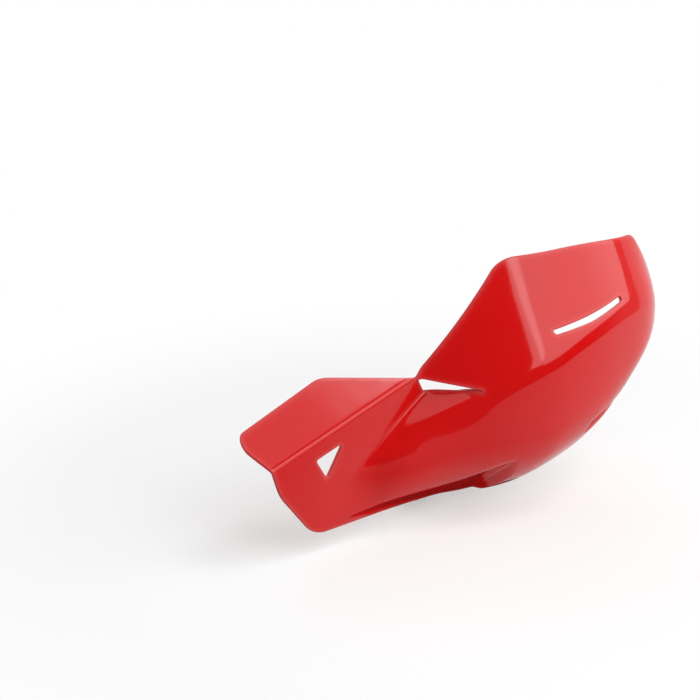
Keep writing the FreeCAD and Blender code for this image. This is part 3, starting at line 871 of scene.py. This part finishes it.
        # Rim value for the paler rim, fading with distance from the rings: partly trimming rub, partly
        # painted highlight.
        rub_and_highlight = np.exp(-gap / self.rub_and_highlight_reach)
        values = [rub_and_highlight, rub_and_highlight]
        quads = []
        base, start = 2 * count, 0
        for points, thick in ringed:
            steps, size = points.shape[0] - 1, points.shape[1]
            order = np.concatenate([np.arange(steps - 1, -1, -1), np.arange(1, steps)])
            sink = half - half * thick[order] * np.where(np.arange(len(order)) < steps, 1, -1)
            deep = np.broadcast_to(sink[:, None], (len(order), size))
            sheets.append(self.surface(points[order], deep).reshape(-1, 3))
            values.append(np.ones(len(order) * size))
            front = np.arange(size) + start
            between = np.arange(len(order) * size).reshape(-1, size) + base
            stack = np.concatenate([front[None], between, front[None] + count])
            beside = np.roll(stack, -1, 1)
            quads.append(np.stack([stack[:-1], stack[1:], beside[1:], beside[:-1]], -1).reshape(-1, 4))
            base += len(order) * size
            start += size
        back = triangles[:, ::-1] + count
        return (np.concatenate(sheets), np.concatenate(quads), np.concatenate([triangles, back]),
                np.concatenate(values))

    def lug(self, columns: int = 180) -> tuple[Array, Array]:
        """Fixing tab: polar about the bolt, reaching to the eye's circle or the root's outline if further.

        Args:
            columns: number of directions round the bolt.

        Returns:
            Places and quads of the closed tab.
        """
        left = self.tab_outboard - self.tab
        middle = np.full(self.tab_root_points, self.tab_outboard - self.tab / 2)
        low = along(self.form.lower_edge, middle[:1], 1)[0] + self.wall / 2
        height = low + self.tab_root * np.linspace(0, 1, self.tab_root_points)
        root = self.surface(np.stack([middle, height], 1), np.full(len(middle), self.wall / 2))[:, 1:]
        eye = np.array([self.bolt_behind, -self.bolt_below])
        ends = eye + np.array([[0, self.tab_radius], [0, -self.tab_radius]])
        outline = np.concatenate([root, ends]) - eye
        angle = TURN * np.arange(columns) / columns
        ray = np.stack([np.cos(angle), np.sin(angle)], 1)[:, None]
        start, side = outline[None], (np.roll(outline, -1, 0) - outline)[None]
        cross = ray[..., 0] * side[..., 1] - ray[..., 1] * side[..., 0]
        cross = np.where(np.abs(cross) < TINY, TINY, cross)
        reach = (start[..., 0] * side[..., 1] - start[..., 1] * side[..., 0]) / cross
        share = (start[..., 0] * ray[..., 1] - start[..., 1] * ray[..., 0]) / cross
        reach = np.where((share >= 0) & (share <= 1) & (reach > 0), reach, 0.0).max(1)
        reach = np.maximum(reach, self.tab_radius)
        turn = np.linspace(0, math.pi / 2, self.tab_round_steps)
        sunk = self.tab_round * (1 - np.sin(turn))
        deep = self.tab_round * (1 - np.cos(turn))
        inner = np.full((1, columns), self.tab_hole)
        radius = np.concatenate([inner, reach - sunk[:, None], reach - sunk[::-1, None], inner])
        across = np.concatenate([[0.0], deep, self.tab - deep[::-1], [self.tab]])
        points = np.empty(radius.shape + (3,))
        points[..., 0] = left + across[:, None]
        points[..., 1] = eye[0] + radius * np.cos(angle)
        points[..., 2] = eye[1] + radius * np.sin(angle)
        points = points.reshape(-1, 3)
        return points, outward(points, grid_quads(len(radius), columns, closed_rows=True))

    def build(self) -> bpy.types.Object:
        """Shell and tab as one piece in the guard's body.

        Returns:
            The placed piece.
        """
        skin, quads, triangles, rim = self.skin()
        lug, lug_quads = self.lug()
        points = (np.concatenate([skin, lug]) + self.notch()) * MM
        quads = np.concatenate([quads, lug_quads + len(skin)])
        mesh = new_mesh("red_guard_shell", points, quads, triangles)
        set_layer(mesh, RIM, np.concatenate([rim, np.zeros(len(lug))]))
        return place(mesh, Body.GUARD, Slot.RED, "guard_shell")


# Fasteners


@dataclass(frozen=True)
class Axis:
    """Line that a turned piece stands on: its start in millimetres, its direction and one square to it."""

    start: tuple[float, float, float]
    along: tuple[float, float, float]
    side: tuple[float, float, float]

    def points(self, radius: Array, travel: Array) -> Array:
        """Places at radii and travels, the columns running round the axis.

        Args:
            radius: one row for each step, one column for each direction.
            travel: distance along the axis of each step or place.

        Returns:
            Places in millimetres.
        """
        angle = TURN * np.arange(radius.shape[1]) / radius.shape[1]
        along_axis, side = np.array(self.along), np.array(self.side)
        other = np.cross(along_axis, side)
        round_axis = np.cos(angle)[:, None] * side + np.sin(angle)[:, None] * other
        travel = np.broadcast_to(np.asarray(travel).reshape(len(radius), -1), radius.shape)
        return np.array(self.start) + radius[..., None] * round_axis + travel[..., None] * along_axis


def hexagon(across: float, columns: int) -> Array:
    """Radius of a hexagon's outline in each direction round its centre, a corner lying in the first."""
    angle = TURN * np.arange(columns) / columns
    return across / 2 / np.cos(angle % (math.pi / 3) - math.pi / 6)


def turned(name: str, axis: Axis, rows: Rows, columns: int, closed: bool = False) -> bpy.types.Mesh:
    """Mesh of a piece whose radius changes with step and direction.

    Args:
        name: name of the mesh.
        axis: line that the piece stands on.
        rows: radius and travel of each step.
        columns: number of directions.
        closed: whether the last step joins the first, as on a washer.

    Returns:
        The closed mesh, with the points of its poles merged.
    """
    radius = np.stack([np.broadcast_to(np.asarray(r, float), columns) for r, _ in rows])
    points = axis.points(radius, np.array([t for _, t in rows])).reshape(-1, 3)
    quads = outward(points, grid_quads(len(rows), columns, closed_rows=closed))
    open_mesh = new_mesh("open_" + name, points * MM, quads)
    shape = bmesh.new()
    shape.from_mesh(open_mesh)
    bpy.data.meshes.remove(open_mesh)
    bmesh.ops.remove_doubles(shape, verts=shape.verts, dist=MERGE)
    return shaded(name, shape)


@dataclass(frozen=True)
class SocketScrew:
    """Socket-head screw in millimetres: hexagonal recess, knurled head and threaded shank."""

    head_radius: float = 5.0
    head: float = 6.0
    radius: float = 3.0
    across: float = 5.0
    recess: float = 3.0
    recess_dish: float = 0.6
    recess_corner: float = 0.1
    recess_share: float = 0.96
    mouth: float = 0.35
    mouth_flare: float = 0.25
    edge: float = 0.5
    edge_steps: int = 5
    knurls: int = 36
    knurl_depth: float = 0.12
    knurl_margins: tuple[float, float] = (0.35, 0.6)
    skirt: float = 0.3
    skirt_cut: float = 0.25
    fillet: float = 0.2
    pitch: float = 1.0
    pitch_steps: int = 5
    thread_depth: float = 0.32
    threaded: float = 9.0
    run_in: float = 0.3
    run_out: float = 0.6
    tip: float = 0.1
    tip_shares: tuple[float, float] = (0.82, 0.7)
    columns: int = 144

    def mesh(self, name: str, axis: Axis, length: float) -> bpy.types.Mesh:
        """Screw as one turned surface, from the recess floor over the head and down the shank.

        The knurl is a cosine of the direction, and the thread a cosine of the travel less the direction.

        Args:
            name: name of the mesh.
            axis: line that starts at the head's top and runs along the shank.
            length: whole length with the head.

        Returns:
            The mesh.
        """
        angle = TURN * np.arange(self.columns) / self.columns
        recess = hexagon(self.across, self.columns)
        rows: Rows = [(0.0, self.recess + self.recess_dish), (recess * self.recess_share, self.recess),
                      (recess, self.recess - self.recess_corner), (recess, self.mouth),
                      (self.across / math.sqrt(3) + self.mouth_flare, 0.0)]
        for bend in np.linspace(0, math.pi / 2, self.edge_steps):
            cut = self.edge * (1 - math.sin(bend))
            rows.append((self.head_radius - cut, self.edge * (1 - math.cos(bend))))
        knurl = self.head_radius - self.knurl_depth * (0.5 - 0.5 * np.cos(self.knurls * angle))
        first, last = self.knurl_margins
        rows += [(knurl, self.edge + first), (knurl, self.head - last),
                 (self.head_radius, self.head - self.skirt), (self.head_radius - self.skirt_cut, self.head),
                 (self.radius + self.fillet, self.head), (self.radius, self.head + self.fillet)]
        start = length - self.threaded
        rows.append((self.radius, start - self.run_in))
        for travel in np.arange(start, length - self.run_out, self.pitch / self.pitch_steps):
            groove = 0.5 + 0.5 * np.cos(TURN * travel / self.pitch - angle)
            rows.append((self.radius - self.thread_depth * groove, float(travel)))
        wide, narrow = self.tip_shares
        rows += [(self.radius * wide, length - self.tip), (self.radius * narrow, length), (0.0, length)]
        return turned(name, axis, rows, self.columns)


@dataclass(frozen=True)
class Fasteners:
    """Screws, washers, bolt and nut, in millimetres, placed from the nodes they stand for."""

    screw: SocketScrew = SocketScrew()
    washer_edge: float = 0.2
    washer_cut: float = 0.3
    bolt_across: float = 13.0
    bolt_head: float = 5.3
    bolt_radius: float = 4.0
    bolt_tip: float = 0.8
    dish: float = 0.25
    dish_radius: float = 4.2
    dish_rim: tuple[float, float] = (4.6, 0.02)
    nut_body: float = 6.5
    nut_cavity: float = 11.5
    nut_clearance: float = 0.05
    nut_lead_in: float = 0.3
    dome_step: float = 0.05
    dome_steps: int = 15
    chamfer_slope: float = 1.75
    chamfer_shares: tuple[float, ...] = (0, 0.06, 0.12, 0.18, 0.25, 0.75, 0.82, 0.88, 0.94, 1)
    clamp_spread: float = 38.0
    clamp_ear: float = 9.0
    clamp_washer: float = 1.2
    clamp_screw: float = 21.2
    washer_radius: float = 6.0
    washer_bore: float = 3.05
    bolt_washer_radius: float = 8.0
    bolt_washer_bore: float = 4.4
    columns: int = 96

    def along_axis(self, node: str, way: int, sign: float) -> tuple[Axis, float]:
        """Axis of a node that lies along the row's X or Y, and its length, from the node's box.

        Args:
            node: node's name.
            way: 0 for X or 1 for Y.
            sign: direction of the axis along that way.

        Returns:
            The axis, starting at the box's near face, and the box's length.
        """
        low, high = (np.array(corner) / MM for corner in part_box(node))
        start = (low + high) / 2
        start[way] = low[way] if sign > 0 else high[way]
        direction = np.zeros(3)
        direction[way] = sign
        return Axis(tuple(start), tuple(direction), (0.0, 0.0, 1.0)), float(high[way] - low[way])

    def arm_axes(self) -> tuple[Array, Array]:
        """Directions of the clamp, whose arm runs from the bar to the pitch hinge.

        Returns:
            The direction square to its split towards the rider, and the one along the split.
        """
        pitch = next(j for j in frame["joints"] if j["name"] == "guard_pitch")
        arm = np.array([0.0, pitch["pos_m"][1], pitch["pos_m"][2]])
        arm /= np.linalg.norm(arm)
        return -arm, np.array([0.0, arm[2], -arm[1]])

    def washer(self, name: str, axis: Axis, outer: float, inner: float, thick: float) -> bpy.types.Mesh:
        """Washer: a rectangle with rounded edges carried round the axis.

        Args:
            name: name of the mesh.
            axis: line that it stands on.
            outer: outer radius.
            inner: bore's radius.
            thick: thickness.

        Returns:
            The mesh.
        """
        edge = self.washer_edge
        cut = self.washer_cut * edge
        rows = [(inner, edge), (inner + edge, 0.0), (outer - edge, 0.0), (outer - cut, cut), (outer, edge),
                (outer, thick - edge), (outer - cut, thick - cut), (outer - edge, thick),
                (inner + edge, thick), (inner, thick - edge)]
        return turned(name, axis, rows, self.columns, closed=True)

    def hexagon_rows(self, start: float, end: float) -> Rows:
        """Steps of a hexagonal prism whose corners are cut by a cone at both ends.

        Args:
            start: travel of the first end.
            end: travel of the other end.

        Returns:
            Radius and travel of each step.
        """
        outline = hexagon(self.bolt_across, self.columns)
        rows = []
        for share in self.chamfer_shares:
            travel = start + (end - start) * share
            room = self.bolt_across / 2 + self.chamfer_slope * min(travel - start, end - travel)
            rows.append((np.minimum(outline, room), travel))
        return rows

    def acorn_nut(self) -> bpy.types.Mesh:
        """Acorn nut: bore, hexagon with cut corners, short neck and a dome that is half a sphere.

        Returns:
            The mesh.
        """
        axis, length = self.along_axis("acorn_nut", 0, -1.0)
        bore = self.bolt_radius + self.nut_clearance
        dome = self.bolt_across / 2 - self.dome_step
        rows: Rows = [(0.0, self.nut_cavity), (bore, self.nut_cavity), (bore, self.nut_lead_in),
                      (bore + self.nut_lead_in, 0.0)]
        rows += self.hexagon_rows(0.0, self.nut_body)
        rows.append((dome, self.nut_body + self.dome_step))
        for bend in np.linspace(0, math.pi / 2, self.dome_steps):
            rows.append((dome * math.cos(bend), length - dome + dome * math.sin(bend)))
        return turned("bright_acorn_nut", axis, rows, self.columns)

    def tab_bolt(self) -> bpy.types.Mesh:
        """Hexagon bolt: dished head with cut corners, then a plain shank to the nut.

        Returns:
            The mesh.
        """
        axis, length = self.along_axis("tab_bolt", 0, -1.0)
        rows: Rows = [(0.0, self.dish), (self.dish_radius, self.dish), self.dish_rim]
        rows += self.hexagon_rows(0.0, self.bolt_head)
        rows += [(self.bolt_radius, self.bolt_head), (self.bolt_radius, length - self.bolt_tip),
                 (self.bolt_radius - self.bolt_tip, length), (0.0, length)]
        return turned("steel_tab_bolt", axis, rows, self.columns)

    def pair(self, name: str, meshes: list[bpy.types.Mesh]) -> bpy.types.Mesh:
        """One mesh from the meshes of identical pieces.

        Args:
            name: name of the mesh.
            meshes: meshes to join.

        Returns:
            The joined mesh.
        """
        shape = bmesh.new()
        for mesh in meshes:
            shape.from_mesh(mesh)
        return shaded(name, shape)

    def clamp_set(self) -> tuple[bpy.types.Mesh, bpy.types.Mesh]:
        """Screws and washers of the clamp, one each side of the bar.

        Returns:
            The mesh of both screws and the mesh of both washers.
        """
        square, split = self.arm_axes()
        seat = self.clamp_ear + self.clamp_washer
        length = self.screw.head + self.clamp_screw
        screws, washers = [], []
        for side in (-0.5, 0.5):
            foot = split * (side * self.clamp_spread)
            top, under = (Axis(tuple(foot + square * height), tuple(-square), tuple(split))
                          for height in (seat + self.screw.head, seat))
            screws.append(self.screw.mesh("clamp_screw", top, length))
            washers.append(self.washer("clamp_washer", under, self.washer_radius, self.washer_bore,
                                       self.clamp_washer))
        return self.pair("steel_clamp_screws", screws), self.pair("steel_clamp_washers", washers)

    def build(self) -> None:
        """Every fastener as a piece of its body."""
        place(self.acorn_nut(), Body.GUARD, Slot.BRIGHT, "acorn_nut")
        place(self.tab_bolt(), Body.GUARD, Slot.STEEL, "tab_bolt")
        axis, thick = self.along_axis("tab_washer", 0, -1.0)
        washer = self.washer("steel_tab_washer", axis, self.bolt_washer_radius, self.bolt_washer_bore,
                             thick)
        place(washer, Body.GUARD, Slot.STEEL, "tab_washer")
        for knuckle, way in (("pitch", 0), ("roll", 1)):
            axis, length = self.along_axis(f"{knuckle}_screw", way, -1.0)
            screw = self.screw.mesh(f"steel_{knuckle}_screw", axis, length)
            place(screw, Body.LINK, Slot.STEEL, f"{knuckle}_screw")
            axis, thick = self.along_axis(f"{knuckle}_washer", way, -1.0)
            washer = self.washer(f"steel_{knuckle}_washer", axis, self.washer_radius, self.washer_bore,
                                 thick)
            place(washer, Body.LINK, Slot.STEEL, f"{knuckle}_washer")
        screws, washers = self.clamp_set()
        place(screws, Body.BAR_MOUNT, Slot.STEEL, "clamp_screws")
        place(washers, Body.BAR_MOUNT, Slot.STEEL, "clamp_washers")


# Moulded mount


@dataclass(frozen=True)
class MouldedMount:
    """Black knuckle mount: each node's own form with its edges rounded as a mould leaves them.

    Lengths are in millimetres and angles in degrees.
    """

    merge: float = 0.002
    edge: float = 0.5
    segments: int = 3
    sharp: float = 35.0
    flat: float = 0.5

    def softened(self, name: str, node: str) -> bpy.types.Mesh:
        """Copy of a node's mesh, merged into flat faces, ready for its edges to be rounded.

        Args:
            name: name of the new mesh.
            node: node to copy.

        Returns:
            The merged mesh.
        """
        shape = bmesh.new()
        shape.from_mesh(frame["nodes"][node].data)
        bmesh.ops.remove_doubles(shape, verts=shape.verts, dist=self.merge * MM)
        bmesh.ops.dissolve_limit(shape, angle_limit=math.radians(self.flat), verts=shape.verts,
                                 edges=shape.edges)
        return shaded(name, shape, math.radians(self.sharp))

    def build(self) -> None:
        """Link, bracket and the clamp's two halves as pieces of their bodies."""
        for node, body in (("guard_bracket", Body.GUARD), ("knuckle_link", Body.LINK),
                           ("clamp_body", Body.BAR_MOUNT), ("clamp_cap", Body.BAR_MOUNT)):
            piece = place(self.softened(f"black_{node}", node), body, Slot.BLACK, node)
            bevel = piece.modifiers.new("moulded_edges", "BEVEL")
            bevel.width = self.edge * MM
            bevel.segments = self.segments
            bevel.limit_method = "ANGLE"
            bevel.angle_limit = math.radians(self.sharp)
            bevel.harden_normals = True

    def dress_inserts(self) -> None:
        """Brass finish on the threaded inserts, which keep their own solids."""
        brass = bpy.data.materials[FINISHES[Slot.BRASS].name]
        for node in ("pitch_insert", "roll_insert", "clamp_inserts"):
            mesh = frame["nodes"][node].data
            mesh.materials.clear()
            mesh.materials.append(brass)
            LOG.info("%s is dressed in brass", node)


# Studio


def bearing(azimuth: float, elevation: float) -> Vector:
    """Direction from the object at an azimuth from +X and an elevation, in degrees."""
    turn, rise = math.radians(azimuth), math.radians(elevation)
    return Vector((math.cos(turn) * math.cos(rise), math.sin(turn) * math.cos(rise), math.sin(rise)))


@dataclass(frozen=True)
class SoftBox:
    """Rectangular lamp that faces the object from a direction, in metres and degrees.

    A lamp that isn't mirrored lights the object without showing in its gloss. A narrow spread makes the
    lamp's reflection fade towards its rim.
    """

    name: str
    azimuth: float
    elevation: float
    distance: float
    size: tuple[float, float]
    radiance: float
    mirrored: bool = True
    spread: float = 180.0

    def build(self, aim: Vector) -> None:
        """Area lamp whose power gives its face this radiance.

        Args:
            aim: point that the lamp faces.
        """
        lamp = bpy.data.lights.new(self.name, "AREA")
        lamp.shape = "RECTANGLE"
        lamp.size, lamp.size_y = self.size
        lamp.energy = self.radiance * math.pi * self.size[0] * self.size[1]
        lamp.spread = math.radians(self.spread)
        holder = new_object(self.name, lamp)
        toward = bearing(self.azimuth, self.elevation)
        holder.location = aim + toward * self.distance
        holder.rotation_euler = toward.to_track_quat("Z", "Y").to_euler()
        holder.visible_glossy = self.mirrored


@dataclass(frozen=True)
class PaintedShadeCards:
    """Dark cards that only reflections see, painting shade into the gloss: a bent one on the front side and
    a small one under the shell.

    Lengths are in metres; dim and side give how much the front card hides at some azimuths, on the floor
    near the object and beyond it: painted shade on the floor near the object, and painted dark surroundings
    beyond it.
    """

    azimuths: tuple[float, float] = (-200.0, -26.0)
    floor_ends: tuple[float, float] = (-108.0, -86.0)
    dim_from: tuple[float, float] = (0.08, 0.17)
    near: float = 0.36
    far: float = 1.9
    seam: float = 0.02
    height: float = 3.3
    lift: float = 0.003
    dim: Stations = ((-125.0, 0.75), (-105.0, 0.57), (-93.0, 0.42), (-72.0, 0.24), (-45.0, 0.0))
    side: Stations = ((-60.0, 1.0), (-38.0, 0.6))
    under_low: tuple[float, float] = (-0.16, -0.085)
    under_high: tuple[float, float] = (0.03, 0.02)
    colour: Colour = (0.02, 0.02, 0.02, 1)

    def front(self, centre: Vector, floor: float, columns: int = 88) -> bpy.types.Mesh:
        """Profile that lies over the floor and then stands up, carried round the object.

        Args:
            centre: middle of the object's box.
            floor: level of the floor.
            columns: number of steps round the object.

        Returns:
            The mesh, with its cover.
        """
        # Painted dark reflections: the cover stands for shade on the floor near the object and for dark
        # surroundings beyond it and above.
        azimuth = np.linspace(*self.azimuths, columns)
        turn = np.radians(azimuth)
        share = np.clip((azimuth - self.floor_ends[0]) / (self.floor_ends[1] - self.floor_ends[0]), 0, 1)
        edge = self.near + (self.far - 2 * self.seam - self.near) * share
        dim = np.interp(azimuth, *np.transpose(self.dim))
        side = np.interp(azimuth, *np.transpose(self.side))
        none = np.zeros(columns)
        steps = [self.dim_from[0] + none, self.dim_from[1] + none, edge, edge + self.seam, self.far + none,
                 self.far + none]
        radius = np.stack(steps)
        level = floor + np.array([self.lift] * (len(steps) - 1) + [self.height])[:, None] + none
        places = np.stack([centre.x + radius * np.cos(turn), centre.y + radius * np.sin(turn), level], -1)
        quads = grid_quads(len(steps), columns, closed_columns=False)
        return self.covered("painted_dark_reflection_card", places, quads, np.stack([none, dim, dim, side, side, side]))

    def under(self, floor: float) -> bpy.types.Mesh:
        """Flat dark card that paints the shell's contact shadow into the reflections of its lower faces.

        Args:
            floor: level of the floor.

        Returns:
            The mesh, with its cover.
        """
        x, y = np.meshgrid(*np.transpose([self.under_low, self.under_high]))
        places = np.stack([x, y, np.full_like(x, floor + self.lift / 2)], -1)
        return self.covered("painted_contact_shadow_card", places, grid_quads(2, 2, closed_columns=False), np.ones_like(x))

    def covered(self, name: str, places: Array, quads: Array, cover: Array) -> bpy.types.Mesh:
        """Mesh whose points say how much they hide.

        Args:
            name: name of the mesh.
            places: grid of places.
            quads: corner numbers, four in a row.
            cover: share hidden at each place.

        Returns:
            The mesh.
        """
        mesh = new_mesh(name, places.reshape(-1, 3), quads)
        set_layer(mesh, COVER, cover)
        return mesh

    def build(self, centre: Vector, floor: float) -> None:
        """Both cards, hidden from everything but glossy rays.

        Args:
            centre: middle of the object's box.
            floor: level of the floor.
        """
        # Painted shade: a near-black surface, faded by each card's cover and seen only by glossy rays,
        # paints dark reflections.
        material, tree, surface = new_material("painted_shade_card")
        cover = tree.add("ShaderNodeAttribute", attribute_name=COVER).outputs["Fac"]
        tree.fill(surface, {"Base Color": self.colour, "Roughness": 1.0, "Specular IOR Level": 0.0,
                            "Alpha": cover})
        for mesh in (self.front(centre, floor), self.under(floor)):
            mesh.materials.append(material)
            card = new_object(mesh.name, mesh)
            card.visible_camera = False
            card.visible_diffuse = False
            card.visible_shadow = False
            card.visible_transmission = False
            card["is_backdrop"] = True


@dataclass(frozen=True)
class Studio:
    """Pale floor, soft lamps and the camera at the photograph's angle, in metres.

    The floor is white to the eye by the share floor_white near the object and wholly white further out.
    Light that it bounces onto the object has the dimmer tone floor_bounce.
    """

    eye: tuple[float, float, float] = (-0.6844, -0.7710, 0.4436)
    target: tuple[float, float, float] = (-0.0312, 0.0544, 0.0605)
    lens: float = 72.0
    sensor: float = 36.0
    floor_size: float = 60.0
    floor_points: int = 9
    floor_roughness: float = 0.9
    floor_gloss: float = 0.1
    floor_colour: Colour = (0.96, 0.96, 0.96, 1)
    floor_fade: tuple[float, float] = (0.1, 0.5)
    floor_white: float = 0.45
    floor_bounce: Colour = (0.66, 0.66, 0.66, 1)
    sky: float = 0.4
    cards: PaintedShadeCards = PaintedShadeCards()
    lamps: tuple[SoftBox, ...] = (
        SoftBox("front_box", -65.0, 33.0, 1.6, (1.86, 1.05), 2.1),
        SoftBox("front_strip", -99.0, 33.0, 1.6, (0.17, 1.05), 2.1),
        SoftBox("top_box", -45.0, 64.0, 1.5, (0.9, 0.9), 0.2, spread=28.0),
        SoftBox("top_fill", -100.0, 50.0, 1.6, (1.0, 1.0), 1.7, mirrored=False),
        SoftBox("rear_box", 70.0, 40.0, 1.8, (1.2, 0.8), 1.2),
    )

    def add_camera(self) -> None:
        """Camera that looks from the eye to the target."""
        lens = bpy.data.cameras.new("camera")
        lens.lens = self.lens
        lens.sensor_width = self.sensor
        camera = new_object("camera", lens)
        camera.location = self.eye
        look = Vector(self.target) - Vector(self.eye)
        camera.rotation_euler = look.to_track_quat("-Z", "Y").to_euler()
        bpy.context.scene.camera = camera

    def seen(self, tree: Tree) -> bpy.types.NodeSocket:
        """Mask of the rays that show a background: camera, glossy and transmission rays.

        Args:
            tree: tree of the floor or the sky.

        Returns:
            The mask's socket.
        """
        path = tree.add("ShaderNodeLightPath").outputs
        mirrored = tree.math("MAXIMUM", path["Is Glossy Ray"], path["Is Transmission Ray"])
        return tree.math("MAXIMUM", path["Is Camera Ray"], mirrored)

    def add_floor(self, centre: Vector, height: float) -> None:
        """Wide flat floor that keeps the object's shadow and fades to plain white further out.

        Args:
            centre: middle of the object's box.
            height: level of the floor.
        """
        line = np.linspace(-0.5, 0.5, self.floor_points) * self.floor_size
        x, y = np.meshgrid(line, line)
        points = np.stack([x, y, np.full_like(x, height)], -1).reshape(-1, 3)
        mesh = new_mesh("floor", points, grid_quads(len(line), len(line), closed_columns=False))
        material, tree, surface = new_material("pale_floor")
        path = tree.add("ShaderNodeLightPath").outputs
        tone = tree.mix(path["Is Diffuse Ray"], self.floor_colour, self.floor_bounce)
        tree.fill(surface, {"Base Color": tone, "Roughness": self.floor_roughness,
                            "Specular IOR Level": self.floor_gloss})
        middle = (centre.x, centre.y, height)
        away = tree.add("ShaderNodeVectorMath", {0: tree.spot(), 1: middle}, operation="DISTANCE")
        fade = tree.ramp(away.outputs["Value"], self.floor_fade, interpolation_type="SMOOTHSTEP")
        direct = tree.math("MULTIPLY", path["Is Camera Ray"], self.floor_white)
        share = tree.math("MAXIMUM", tree.math("MULTIPLY", fade, self.seen(tree)), direct)
        white = tree.add("ShaderNodeEmission", {"Strength": 1.0})
        both = tree.add("ShaderNodeMixShader", {0: share, 1: surface.outputs[0], 2: white.outputs[0]})
        tree.fill(material.node_tree.nodes["Material Output"], {"Surface": both.outputs[0]})
        mesh.materials.append(material)
        new_object("floor", mesh)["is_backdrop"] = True

    def add_sky(self) -> None:
        """White surroundings to the eye and in reflections, dimmer as light."""
        world = bpy.data.worlds.new("studio")
        world.use_nodes = True
        tree = Tree(world.node_tree)
        values = {"Value": self.seen(tree), "To Min": self.sky, "To Max": 1.0}
        strength = tree.add("ShaderNodeMapRange", values).outputs[0]
        tree.fill(world.node_tree.nodes["Background"], {"Color": (1, 1, 1, 1), "Strength": strength})
        bpy.context.scene.world = world

    def build(self, low: Vector, high: Vector) -> None:
        """Camera, floor, sky, cards and lamps round the object's box.

        Args:
            low: lowest corner of the box.
            high: highest corner of the box.
        """
        centre = (low + high) / 2
        self.add_camera()
        self.add_floor(centre, low.z)
        self.add_sky()
        self.cards.build(centre, low.z)
        for lamp in self.lamps:
            lamp.build(centre)
        bpy.context.scene.view_settings.view_transform = "Standard"
        LOG.info("studio has %d lamps", len(self.lamps))


def main() -> None:
    """Builds the finishes, the pieces and the studio."""
    logging.basicConfig(level=logging.INFO, format="%(name)s: %(message)s")
    cad_low, cad_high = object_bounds()
    for make in (build_grain, build_drift, build_marks):
        make()
    for finish in FINISHES.values():
        finish.build()
    GuardShell().build()
    mount = MouldedMount()
    mount.build()
    mount.dress_inserts()
    Fasteners().build()
    Studio().build(cad_low, cad_high)


if __name__ == "__main__":
    main()
